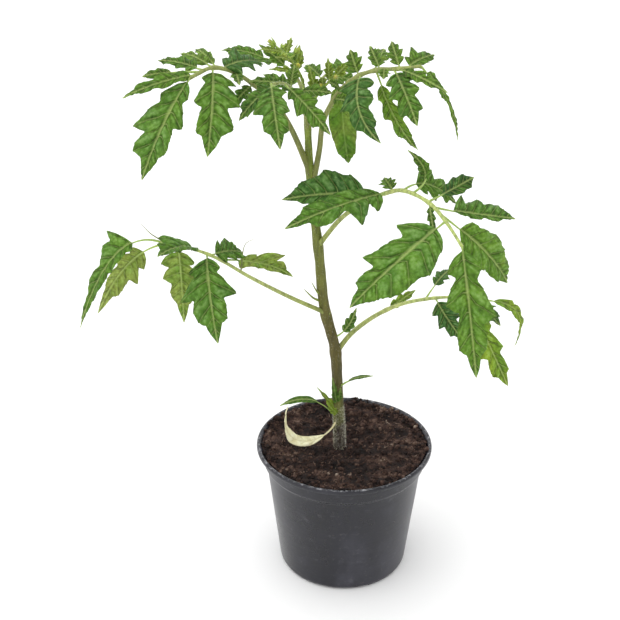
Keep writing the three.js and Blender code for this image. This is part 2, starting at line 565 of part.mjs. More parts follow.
function soilGeometry() {
  const { baseRadius, floor, wall, shoulderZ, shoulderRadius } = pot;
  const { edgeZ, middleZ } = soil;
  const gap = 1.2 * seat;
  const mound = turned([
    [0, floor + gap], [baseRadius - wall - 1.6 - gap, floor + gap],
    [baseRadius - wall - gap, floor + 2], [shoulderRadius - wall - gap, shoulderZ + gap],
    [collarInner(shoulderZ + 3) - gap, shoulderZ + 3], [collarInner(edgeZ) - gap, edgeZ],
    ...[50, 40, 28, 14].map((r) => [r, middleZ + (edgeZ - middleZ) * (r / 60) ** 2]), [0, middleZ],
  ]);
  const surface = mound.attributes.position;
  for (let i = 0; i < surface.count; i++) {
    const [x, y, z] = [surface.getX(i), surface.getY(i), surface.getZ(i)];
    const reach = Math.hypot(x, y);
    if (z > middleZ - 1 && reach > 1 && reach < 55)
      surface.setZ(i, z + soil.crumb * Math.sin(x * 0.9 + 1) * Math.cos(y * 0.8 - 0.5));
  }
  const [x, y, bottom] = stem.points[0];
  const socketRadius = stem.baseRadius + seat;
  const socket = new THREE.CylinderGeometry(socketRadius, socketRadius, 40, stem.sides)
    .rotateX(Math.PI / 2).translate(x, y, bottom - seat + 20);
  return toGeometry(toSolid(mound).subtract(toSolid(socket)));
}

// ---- the plant ----------------------------------------------------------------------------

const plant = new THREE.Group();
const mainStem = branch(stem.points, stemRadius);

function addStem() {
  const pieces = [loft(branchRings(mainStem, 0, stem.steps, stem.sides))];
  for (const { root, tip, radius } of nubs) {
    const bend = vec(root).lerp(vec(tip), 0.5).add(new THREE.Vector3(0, 0, -2)).toArray();
    const nub = branch([root, bend, tip], (f) => radius * (1 - 0.8 * f), 20);
    pieces.push(loft(branchRings(nub, 0, 4, 6)));
  }
  const inside = { ...mainStem, radiusAt: () => -seat };
  for (const small of shoots) pieces.push(leaflet(vec(small.root), small, inside));
  plant.add(named("main_stem", joined(pieces), "stem"));
}

function addLeaf(name, { stalk, radius, leaflets, buds = {} }) {
  const [thick, thin] = radius;
  const one = branch(stalk, (f) => thick + (thin - thick) * f);
  const pieces = [loft(branchRings(one, mainStem, 2 * stalk.length, 8))];
  for (const small of Object.values(buds)) {
    const inside = { ...one, radiusAt: () => -seat };
    pieces.push(leaflet(one.curve.getPointAt(small.from), small, inside));
  }
  plant.add(named(`${name}_leaf_stalk`, pieces.length > 1 ? joined(pieces) : pieces[0], "stalk"));
  for (const [place, spec] of Object.entries(leaflets)) {
    const root = one.curve.getPointAt(spec.from);
    plant.add(named(`${name}_leaflet_${place}`, leaflet(root, spec, one, spec.from === 1), "leaf"));
  }
}

function budGeometry(centre, away) {
  const { radius, length } = bud;
  const half = length / 2;
  const profile = [[0, -half], [0.8 * radius, -0.5 * half], [radius, 0],
    [0.6 * radius, 0.55 * half], [0, half]];
  const turn = new THREE.Quaternion().setFromUnitVectors(new THREE.Vector3(0, 1, 0), away);
  return new THREE.LatheGeometry(profile.map(([r, z]) => new THREE.Vector2(r, z)), bud.sides)
    .applyQuaternion(turn)
    .translate(...centre);
}

function addTruss(name, { stalk, buds, young }) {
  const one = branch(stalk, (f) => bud.stalkRadius * (1 - 0.3 * f));
  const pieces = [loft(branchRings(one, mainStem, 8, 6))];
  for (const centre of buds) {
    const middle = vec(centre);
    const closer = (a, b) => (a.distanceTo(middle) < b.distanceTo(middle) ? a : b);
    const nearest = one.line.reduce(closer);
    const reach = middle.distanceTo(nearest);
    const onStalk = reach < 1;
    const away = onStalk ? one.curve.getTangentAt(1) : middle.clone().sub(nearest).normalize();
    const twigEnd = nearest.clone().addScaledVector(away, reach + 1);
    const twig = branch([nearest.toArray(), twigEnd.toArray()], () => bud.twigRadius, 4);
    if (!onStalk) pieces.push(loft(branchRings(twig, 0, 1, bud.sides)));
    pieces.push(budGeometry(centre, away));
  }
  const inside = { ...one, radiusAt: () => -seat };
  for (const small of Object.values(young))
    pieces.push(leaflet(one.curve.getPointAt(small.from), small, inside));
  plant.add(named(name, joined(pieces), "bud"));
}

plant.add(named("pot", potGeometry(), "pot"));
plant.add(named("soil", soilGeometry(), "soil"));
addStem();
for (const [name, spec] of Object.entries(stemLeaves)) {
  const look = name.startsWith("withered") ? "withered" : "leaf";
  plant.add(named(name, leaflet(vec(spec.root), { notch: 0, ...spec }, mainStem), look));
}
for (const [name, spec] of Object.entries(leaves)) addLeaf(name, spec);
for (const [name, spec] of Object.entries(trusses)) addTruss(name, spec);

export default plant;
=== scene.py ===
import math
from itertools import combinations

import bpy
import numpy as np
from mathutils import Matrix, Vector


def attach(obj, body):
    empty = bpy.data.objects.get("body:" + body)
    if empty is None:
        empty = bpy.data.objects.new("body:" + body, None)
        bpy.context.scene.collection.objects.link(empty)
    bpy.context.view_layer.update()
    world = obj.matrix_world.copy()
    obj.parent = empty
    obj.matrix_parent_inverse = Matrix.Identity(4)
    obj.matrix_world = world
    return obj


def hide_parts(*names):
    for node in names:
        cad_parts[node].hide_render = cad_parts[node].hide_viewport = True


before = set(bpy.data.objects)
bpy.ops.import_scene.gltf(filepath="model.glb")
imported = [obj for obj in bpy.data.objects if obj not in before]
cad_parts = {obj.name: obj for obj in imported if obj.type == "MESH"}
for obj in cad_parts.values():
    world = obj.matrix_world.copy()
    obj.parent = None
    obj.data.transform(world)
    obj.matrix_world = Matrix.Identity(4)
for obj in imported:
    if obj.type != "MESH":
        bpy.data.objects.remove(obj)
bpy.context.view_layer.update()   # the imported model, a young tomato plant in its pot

# Shapes are worked out in millimetres, +Z up, and turned to metres when a mesh is made. The
# middle of the pot's underside is the origin and the plant's front faces -Y.
metre = 0.001
fullTurn = 2 * math.pi
print("frame loaded,", len(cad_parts), "solids")


# small maths helpers

def unit(v):
    return v / np.maximum(np.linalg.norm(v, axis=-1, keepdims=True), 1e-9)


def around(sides):   # even angles round a circle
    return np.arange(sides) * fullTurn / sides


def arc(radius, angles):
    return radius * np.c_[np.cos(angles), np.sin(angles)]


def bell(x, middle, width):   # 1 in the middle, and little beyond the width
    return np.exp(-((x - middle) / width) ** 2)


def lookUp(at, places, path):   # the points of a path that lie at the given places
    return np.stack([np.interp(at, places, path[:, k]) for k in range(3)], -1)


def smoothPath(points, count=200):   # an even run of points on a curve through the given ones
    p = [np.array(q, float) for q in points]
    p = [2 * p[0] - p[1], *p, 2 * p[-1] - p[-2]]
    run = []
    for four in zip(p, p[1:], p[2:], p[3:]):
        knots = np.cumsum([0, *(np.linalg.norm(b - a) ** 0.5 for a, b in zip(four, four[1:]))])
        t = np.linspace(knots[1], knots[2], 24, endpoint=False)[:, None]
        for spans in (((0, 1), (1, 2), (2, 3)), ((0, 2), (1, 3)), ((1, 2),)):
            four = [((knots[j] - t) * a + (t - knots[i]) * b) / (knots[j] - knots[i])
                    for (i, j), a, b in zip(spans, four, four[1:])]
        run.append(four[0])
    run = np.vstack([*run, p[-2]])
    gone = np.r_[0, np.cumsum(np.linalg.norm(np.diff(run, axis=0), axis=1))]
    return lookUp(np.linspace(0, gone[-1], count), gone, run)


def alongPath(path, share):   # the point at a share of an even path's length
    return lookUp(np.clip(share, 0, 1) * (len(path) - 1), np.arange(len(path)), path)


def bezier(points, t):   # a curve drawn towards the inner points
    t = np.asarray(t)[..., None]
    while len(points) > 1:
        points = [a * (1 - t) + b * t for a, b in zip(points, points[1:])]
    return points[0]


def ripples(points, size, seed, layers=8):   # a smooth random field of about -1 to 1
    rng = np.random.default_rng(seed)
    total = np.zeros(points.shape[:-1])
    for _ in range(layers):
        way = unit(rng.normal(size=3)) * (0.6 + 0.9 * rng.random()) * fullTurn / size
        total += np.sin(points @ way + rng.random() * fullTurn)
    return total / layers ** 0.5 / 1.4


# mesh helpers: a part is its points, its four-cornered and three-cornered faces, and the numbers
# that each point carries for its material

def part(points, quads=(), tris=(), **marks):
    marks = {k: np.broadcast_to(np.asarray(v, float), (len(points),)) for k, v in marks.items()}
    return {"points": points, "quads": np.reshape(quads, (-1, 4)).astype(int),
            "tris": np.reshape(tris, (-1, 3)).astype(int), "marks": marks}


def joined(parts):
    names = {name for p in parts for name in p["marks"]}
    start = np.cumsum([0] + [len(p["points"]) for p in parts])
    marks = {name: np.concatenate([p["marks"].get(name, np.zeros(len(p["points"]))) for p in parts])
             for name in names}
    return {"points": np.vstack([p["points"] for p in parts]), "marks": marks,
            "quads": np.vstack([p["quads"] + n for p, n in zip(parts, start)]),
            "tris": np.vstack([p["tris"] + n for p, n in zip(parts, start)])}


def grid(rows, columns, wrap=False):   # the quads of a grid of points
    i, j = np.meshgrid(np.arange(rows - 1), np.arange(columns if wrap else columns - 1), indexing="ij")
    k = (j + 1) % columns
    low, high = i * columns, (i + 1) * columns
    return np.stack([low + j, low + k, high + k, high + j], -1).reshape(-1, 4)


def ringed(rings, ends, **marks):   # a closed skin: rings of points, and one point past each end
    count, sides = rings.shape[:2]
    k = np.arange(sides)
    n, last, total = (k + 1) % sides, (count - 1) * sides, count * sides
    caps = [np.stack([n, k, np.full(sides, total)], 1),
            np.stack([last + k, last + n, np.full(sides, total + 1)], 1)]
    points = np.vstack([rings.reshape(-1, 3), ends])
    return part(points, grid(count, sides, wrap=True), np.vstack(caps), **marks)


def sheet(top, under, **marks):   # a thin closed skin between two grids of points
    rows, columns = top.shape[:2]
    k = np.arange(rows * columns).reshape(rows, columns)
    rim = np.concatenate([k[:-1, 0], k[-1, :-1], k[:0:-1, -1], k[0, :0:-1]])   # once round the edge
    n = np.roll(rim, -1)
    wall = np.stack([rim, n, n + k.size, rim + k.size], 1)
    quads = np.vstack([grid(rows, columns), grid(rows, columns)[:, ::-1] + k.size, wall])
    marks = {name: np.tile(np.ravel(values), 2) for name, values in marks.items()}
    return part(np.vstack([top.reshape(-1, 3), under.reshape(-1, 3)]), quads,
                under=np.repeat([0.0, 1.0], k.size), **marks)


def meshObject(name, shape, material):
    mesh = bpy.data.meshes.new(name)
    points, quads, tris = shape["points"] * metre, shape["quads"], shape["tris"]
    mesh.vertices.add(len(points))
    mesh.vertices.foreach_set("co", points.astype(np.float32).ravel())
    corners = np.concatenate([quads.ravel(), tris.ravel()]).astype(np.int32)
    mesh.loops.add(len(corners))
    mesh.loops.foreach_set("vertex_index", corners)
    starts = np.concatenate([np.arange(len(quads)) * 4, 4 * len(quads) + np.arange(len(tris)) * 3])
    mesh.polygons.add(len(starts))
    mesh.polygons.foreach_set("loop_start", starts.astype(np.int32))
    mesh.polygons.foreach_set("use_smooth", np.ones(len(starts), bool))
    mesh.update(calc_edges=True)
    for kind, values in shape["marks"].items():
        mesh.attributes.new(kind, "FLOAT", "POINT").data.foreach_set("value", values.astype(np.float32))
    mesh.materials.append(material)
    return linked(name, mesh)


def linked(name, data):
    obj = bpy.data.objects.new(name, data)
    bpy.context.scene.collection.objects.link(obj)
    return obj


def pieceName(node):   # lower_left_leaf_stalk becomes lowerLeftLeafStalkGrown
    words = node.split("_")
    return words[0] + "".join(w.capitalize() for w in words[1:]) + "Grown"


def place(node, shape, material):   # one finished piece stands for one solid
    obj = meshObject(pieceName(node), shape, material)
    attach(obj, "root")
    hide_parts(node)
    return obj


# material helpers, which build in the node tree that their sockets belong to

def newMaterial(name):
    material = bpy.data.materials.new(name)
    material.use_nodes = True
    return material, material.node_tree, material.node_tree.nodes["Principled BSDF"]


def feed(node, inputs):   # a socket is linked to its input, and a number or a colour is set
    for key, value in inputs.items():
        if isinstance(value, bpy.types.NodeSocket):
            node.id_data.links.new(value, node.inputs[key])
        else:
            node.inputs[key].default_value = value
    return node


def add(tree, kind, inputs={}, **settings):
    node = tree.nodes.new("ShaderNode" + kind)
    for key, value in settings.items():
        setattr(node, key, value)
    return feed(node, inputs)


def treeOf(*values):
    return next(v.id_data for v in values if isinstance(v, bpy.types.NodeSocket))


def mark(tree, name):   # a number that the mesh carries at each point
    return add(tree, "Attribute", attribute_name=name).outputs["Fac"]


def ramp(factor, stops):
    node = add(factor.id_data, "ValToRGB", {"Fac": factor})
    while len(node.color_ramp.elements) < len(stops):
        node.color_ramp.elements.new(0.5)
    for element, (at, colour) in zip(node.color_ramp.elements, stops):
        element.position = at
        element.color = (*colour, 1)
    return node.outputs["Color"]


def mixed(factor, first, second, blend="MIX"):
    first, second = ((*v, 1) if isinstance(v, tuple) else v for v in (first, second))
    return add(treeOf(factor, first, second), "Mix", {0: factor, 6: first, 7: second},
               data_type="RGBA", blend_type=blend).outputs[2]


def grained(colour, share, grain, low, dark, high):   # darkens a colour where the grain is low
    return mixed(share, colour, ramp(grain, [(low, dark), (high, (1, 1, 1))]), "MULTIPLY")


def maths(operation, *values):
    return add(treeOf(*values), "Math", dict(enumerate(values)), operation=operation).outputs[0]


def plus(first, second):
    return maths("ADD", first, second)


def times(first, second):
    return maths("MULTIPLY", first, second)


def spread(value, low, high, fromLow=0.3, fromHigh=0.7):   # one range, often a noise's, onto another
    return add(value.id_data, "MapRange", dict(enumerate([value, fromLow, fromHigh, low, high]))).outputs[0]


def position(tree, stretch=(1, 1, 1)):   # in metres
    spot = add(tree, "TexCoord").outputs["Object"]
    return add(tree, "Mapping", {"Vector": spot, "Scale": stretch}).outputs["Vector"]


def noise(vector, scale, detail=4.0, roughness=0.55):
    inputs = {"Vector": vector, "Scale": scale, "Detail": detail, "Roughness": roughness}
    return add(vector.id_data, "TexNoise", inputs).outputs["Fac"]


def painted(shader, colour, roughness, specular):
    feed(shader, {"Base Color": colour, "Roughness": roughness, "Specular IOR Level": specular})


def bumped(shader, height, strength, distance):
    bump = add(shader.id_data, "Bump", {"Height": height, "Strength": strength, "Distance": distance})
    feed(shader, {"Normal": bump.outputs["Normal"]})
    return bump.outputs["Normal"]


# leaf skin: `tone` runs from deep green to yellow-green, `vein` marks veins, `swell` the painted
# light and shade that follow the skin's rise and fall between them, `under` the lower side

leafLook = {
    "upperStops": [(0.0, (0.05, 0.165, 0.036)), (0.35, (0.12, 0.285, 0.03)),
                   (0.7, (0.19, 0.37, 0.03)), (1.0, (0.36, 0.54, 0.05))],
    "lowerStops": [(0.0, (0.13, 0.26, 0.07)), (0.5, (0.17, 0.36, 0.055)), (0.76, (0.2, 0.42, 0.045)),
                   (1.0, (0.42, 0.52, 0.13))],
    "glowStops": [(0.0, (0.06, 0.25, 0.02)), (0.6, (0.24, 0.45, 0.02)), (1.0, (0.52, 0.62, 0.03))],
    "paintedHighlightColour": (0.5, 0.66, 0.3),   # painted highlight on the swellings
    "veinColour": (0.66, 0.78, 0.28),
    "veinShare": 0.8,
    "netShare": 0.09,
    "bulgeShare": 0.22,     # how much of the painted light and shade the small bulges give, next to the folds
    "glowShare": 0.4,       # how much light passes through the blade
    "glowVeinShare": 0.6,
    "shadeRange": (0.44, 1.7),
    "mottleScale": 75.0,
    "bulgeScale": 400.0,    # the small swellings between the veins
    "netScale": 760.0,      # the net of the smallest veins
    "grainScale": 1000.0,
}


def leafMaterial(look):
    material, tree, shader = newMaterial("leafSkin")
    where = position(tree)
    mottle = noise(where, look["mottleScale"], 5.0)
    grain = noise(where, look["grainScale"], 3.0)
    bulges = add(tree, "TexVoronoi", {"Vector": where, "Scale": look["bulgeScale"]})
    net = add(tree, "TexVoronoi", {"Vector": where, "Scale": look["netScale"]}, feature="DISTANCE_TO_EDGE")
    bulge = spread(bulges.outputs["Distance"], 1, 0, 0.05, 0.75)
    lines = spread(net.outputs["Distance"], 1, 0, 0, 0.12)
    # the relief that the painted light and shade follow: the small bulges and the swell mark
    relief = plus(times(bulge, look["bulgeShare"]), times(mark(tree, "swell"), 1 - look["bulgeShare"]))
    tone = plus(mark(tree, "tone"), spread(mottle, -0.09, 0.09))
    vein = mark(tree, "vein")
    skin = mixed(mark(tree, "under"), ramp(tone, look["upperStops"]), ramp(tone, look["lowerStops"]))
    # painted shade in the creases and painted light on the swellings: the relief darkens or lightens the
    # skin
    shaded = mixed(1.0, skin, spread(relief, *look["shadeRange"], 0.18, 0.72), "MULTIPLY")
    # painted highlight: the tops of the swellings are mixed towards a pale green
    paintedHighlight = mixed(spread(relief, 0, 0.5, 0.46, 0.8), shaded, look["paintedHighlightColour"])
    netted = mixed(times(lines, look["netShare"]), paintedHighlight, look["veinColour"])
    rough = grained(netted, 0.35, grain, 0.3, (0.45, 0.45, 0.45), 0.7)
    veined = mixed(times(vein, look["veinShare"]), rough, look["veinColour"])
    painted(shader, veined, spread(mottle, 0.34, 0.5), 0.22)
    height = plus(times(grain, 0.22), maths("SUBTRACT", bulge, times(lines, 0.25)))
    normal = bumped(shader, height, 0.75, 0.0008)
    # the same painted shade and light from the relief also tint the light that passes through the blade
    through = mixed(1.0, ramp(tone, look["glowStops"]), spread(relief, 0.7, 1.12, 0.2, 0.75), "MULTIPLY")
    lit = mixed(times(vein, look["glowVeinShare"]), through, look["veinColour"])
    glow = add(tree, "BsdfTranslucent", {"Color": lit, "Normal": normal})
    both = add(tree, "MixShader", {0: look["glowShare"], 1: shader.outputs[0], 2: glow.outputs[0]})
    feed(tree.nodes["Material Output"], {"Surface": both.outputs[0]})
    return material


# green wood: `along` runs from root to tip, `hair` marks the fine hairs, `blush` darker olive, partly real
# colour and partly painted shade

woodLook = {
    "olive": (0.155, 0.155, 0.035),
    "streakScale": 520.0,
    "streakStretch": (1, 1, 0.18),
    "patchScale": 90.0,
}


def growthMaterial(name, stops, hairColour, patchy=0.09):
    material, tree, shader = newMaterial(name)
    streaks = noise(position(tree, woodLook["streakStretch"]), woodLook["streakScale"], 3.0)
    patch = noise(position(tree), woodLook["patchScale"])
    skin = ramp(plus(mark(tree, "along"), spread(patch, -patchy, patchy)), stops)
    # darker olive where the blush mark is set: partly the stalks' own colour, partly painted shade
    tintedAndShaded = mixed(times(mark(tree, "blush"), 0.75), skin, woodLook["olive"])
    streaked = grained(tintedAndShaded, 0.75, streaks, 0.34, (0.42, 0.44, 0.42), 0.64)
    painted(shader, mixed(mark(tree, "hair"), streaked, hairColour), spread(patch, 0.45, 0.65), 0.35)
    feed(shader, {"Subsurface Weight": 0.12, "Subsurface Radius": (0.5, 0.7, 0.2),
                  "Subsurface Scale": 0.0012})
    bumped(shader, plus(streaks, times(patch, 0.6)), 0.5, 0.0003)
    return material


# tubes: a stem, a stalk or a midrib along a path, rounded at its end. A mark is one number, or
# several from the root to the tip

def tube(path, radii, sides=12, ridges=0, ridgeDepth=0.0, **marks):
    count = len(path)
    ahead = unit(np.gradient(path, axis=0))
    side = unit(np.cross(ahead[0], (0.31, 0.22, 0.93)))[None].repeat(count, 0)
    for i in range(1, count):   # each ring keeps the turn of the one before it
        side[i] = unit(side[i - 1] - ahead[i] * (side[i - 1] @ ahead[i]))
    up = np.cross(ahead, side)
    turn = around(sides)
    wide = radii[:, None] * (1 + ridgeDepth * np.cos(ridges * turn))
    rings = (path[:, None] + side[:, None] * (wide * np.cos(turn))[..., None]
             + up[:, None] * (wide * np.sin(turn))[..., None])
    ends = [path[0] - ahead[0] * radii[0] * 0.4, path[-1] + ahead[-1] * radii[-1] * 0.6]
    for name, v in {"along": [0, 1], **marks}.items():
        v = np.atleast_1d(v)
        run = np.interp(np.linspace(0, 1, count), np.linspace(0, 1, len(v)), v)
        marks[name] = np.r_[np.repeat(run, sides), v[0], v[-1]]
    return ringed(rings, ends, **marks)


# fine hairs, each a thin three-sided spike that stands on the skin of a tube

def hairs(path, radii, count, length, rng, thick=0.055):
    share = np.sort(rng.random(count))
    foot = alongPath(path, share)
    ahead = unit(alongPath(path, share + 0.01) - alongPath(path, share - 0.01))
    radius = np.interp(share, np.linspace(0, 1, len(radii)), radii)
    out = unit(np.cross(ahead, rng.normal(size=(count, 3))))
    lean = unit(out + ahead * rng.normal(0, 0.25, (count, 1)) + rng.normal(0, 0.15, (count, 3)))
    long = length * (0.5 + rng.random((count, 1)))
    across = unit(np.cross(lean, ahead))
    base = foot + out * radius[:, None] * 0.93
    corners = [across * c + np.cross(across, lean) * s for c, s in arc(thick, around(3))]
    points = np.stack([*(base + c for c in corners), base + lean * long], 1)
    spike = np.array([[0, 1, 3], [1, 2, 3], [2, 0, 3], [2, 1, 0]])
    tris = np.arange(count)[:, None, None] * 4 + spike
    return part(points.reshape(-1, 3), (), tris, hair=1.0, along=np.repeat(share, 4))


# leaflets

blade = {
    "thick": 0.34,        # thickness of the blade at its middle
    "thinner": 0.6,       # share of it that is gone at the margin
    "fold": 14.0,         # degrees that each half rises from the midrib
    "curl": 1 / 150,      # how fast the margins bend back down
    "slantBase": 0.25,    # how far the side veins sweep forward, at the foot and towards the tip
    "slantRise": 0.6,
    "rowsBetween": 12,    # rows of points between two side veins
    "columns": 13,        # columns of points on each side
    "petiole": 0.85,      # radius of a leaflet's own little stalk
    "midrib": [0.22, 0.085],   # its radius at 60 % of the length, and at the tip
    "quilt": 1.25,        # how far the skin swells between the side veins
    "groove": 0.35,
    "veinWidth": 0.3,
    "ribWidth": 0.45,
    "sweep": 0.42,        # how much farther back a side vein starts than its lobe
    "wrinkle": 0.32,      # depth and size of the small folds between the veins
    "wrinkleSize": 3.2,
    "fineWrinkle": 0.15,
    "fineWrinkleSize": 1.5,
    "droop": 0.1,         # how far the lobes hang
    "ridge": 0.26,
    "tooth": 0.6,         # size of the small teeth of the margin
    "toothPitch": 4.6,
    "wave": 1.5,          # how far the margin ripples up and down
    "besideVein": (0.75, 0.45),   # where painted shade darkens the skin beside a vein or the midrib, and how widely
    "besideRib": (1.2, 0.5),
    "relief": (0.2, 0.16, 0.14, -0.24, -0.22),   # what quilting, folds, fine folds and those two add to the painted light and shade
    "patches": 0.1,       # how much the tone changes over a blade, and over which length
    "patchSize": 14,
    "rimTone": 0.06,
}

# what a leaflet has where its own entry says nothing else: the height of its arch and its bare
# foot as shares of its length, the depth of its lobes, and how strong its quilting, ripples, veins
# and midrib are
plainLeaflet = {"arch": 0.12, "bare": 0.12, "notch": 0.42, "quilt": 1.0, "wave": 1.0, "veins": 1.0,
                "rib": 1.0}


# one leaflet: its start as a share of its stalk or as a point, its tip, the azimuth and elevation
# that its upper side faces, its tone and the lobes of its left and right side, which are alike if
# one is given. A lobe is its place along the blade and its half width
def grows(start, tip, faces, tone, left, right=None, **more):
    return {"start": start, "tip": tip, "faces": faces, "tone": tone, "left": left,
            "right": right or left, **more}


def even(width):     # three lobes on each side, the middle one the widest
    return [(0.12, 0.42 * width), (0.37, 0.5 * width), (0.66, 0.3 * width)]


def smooth(width):   # a margin without lobes
    return [(0.2, 0.44 * width), (0.45, 0.5 * width), (0.7, 0.38 * width)]


def blunt(width):    # a margin without lobes, with a round end
    return [(0.2, 0.4 * width), (0.55, 0.5 * width), (0.9, 0.32 * width)]


def lobedMargin(lobes, notch):   # place and half width of the margin's turning points
    firstAt, firstWide = lobes[0]
    points = [(0, 0.8), (0.35 * firstAt, 0.62 * firstWide)]
    for (at, wide), (nextAt, nextWide) in zip(lobes, [*lobes[1:], (1, 0)]):
        last = nextAt == 1
        for share, cut in ((0, 0), (0.28, 0.6 if last else 1), (0.66, 0 if last else 0.3)):
            half = wide + (nextWide - wide) * share
            points.append((at + (nextAt - at) * share, half * (1 - cut * notch)))
    return np.array([*points, (1, 0.25)]).T


def veinPlaces(lobes):   # one side vein runs to each lobe and one between each two
    at = [a for a, _ in lobes]
    between = [(a + b) / 2 for a, b in zip(at, at[1:])]
    tail = [at[-1] + (1 - at[-1]) * share for share in (0.36, 0.7)]
    return np.array([0.0, *sorted(at + between), *tail, 1.0])


def bladeSide(lobes, notch, rows, length, rng):   # places, half width and vein spacing of a side
    knots = veinPlaces(lobes)
    numbers = np.arange(len(knots))
    v = np.interp(rows, numbers, knots)
    ends = np.clip(np.minimum(rows, numbers[-1] - rows), 0, 1)
    inner = np.interp(rows - blade["sweep"] * ends, numbers, knots)   # where its vein starts
    at, wide = lobedMargin(lobes, notch)
    span = np.clip(np.searchsorted(at, v, side="right") - 1, 0, len(at) - 2)
    share = (v - at[span]) / (at[span + 1] - at[span])
    step = wide[span + 1] - wide[span]   # a round swell, then a quicker drop
    eased = np.where(step > 0, 1 - (1 - share) ** 1.5, share ** (1.1 if notch else 1.8))
    half = wide[span] + step * eased
    pitch = length / blade["toothPitch"]
    phase = v * pitch + 0.35 * np.sin(v * 9 + rng.random() * 6) + rng.random()
    teeth = np.clip(half / 7 - 0.4, 0, 1) * np.clip((1 - v) * 6, 0, 1) * (notch > 0)
    gap = np.diff(knots)[np.clip(rows.astype(int), 0, len(knots) - 2)] * length
    return v, inner, half + blade["tooth"] * teeth * ((phase % 1) ** 1.4 - 0.35), gap


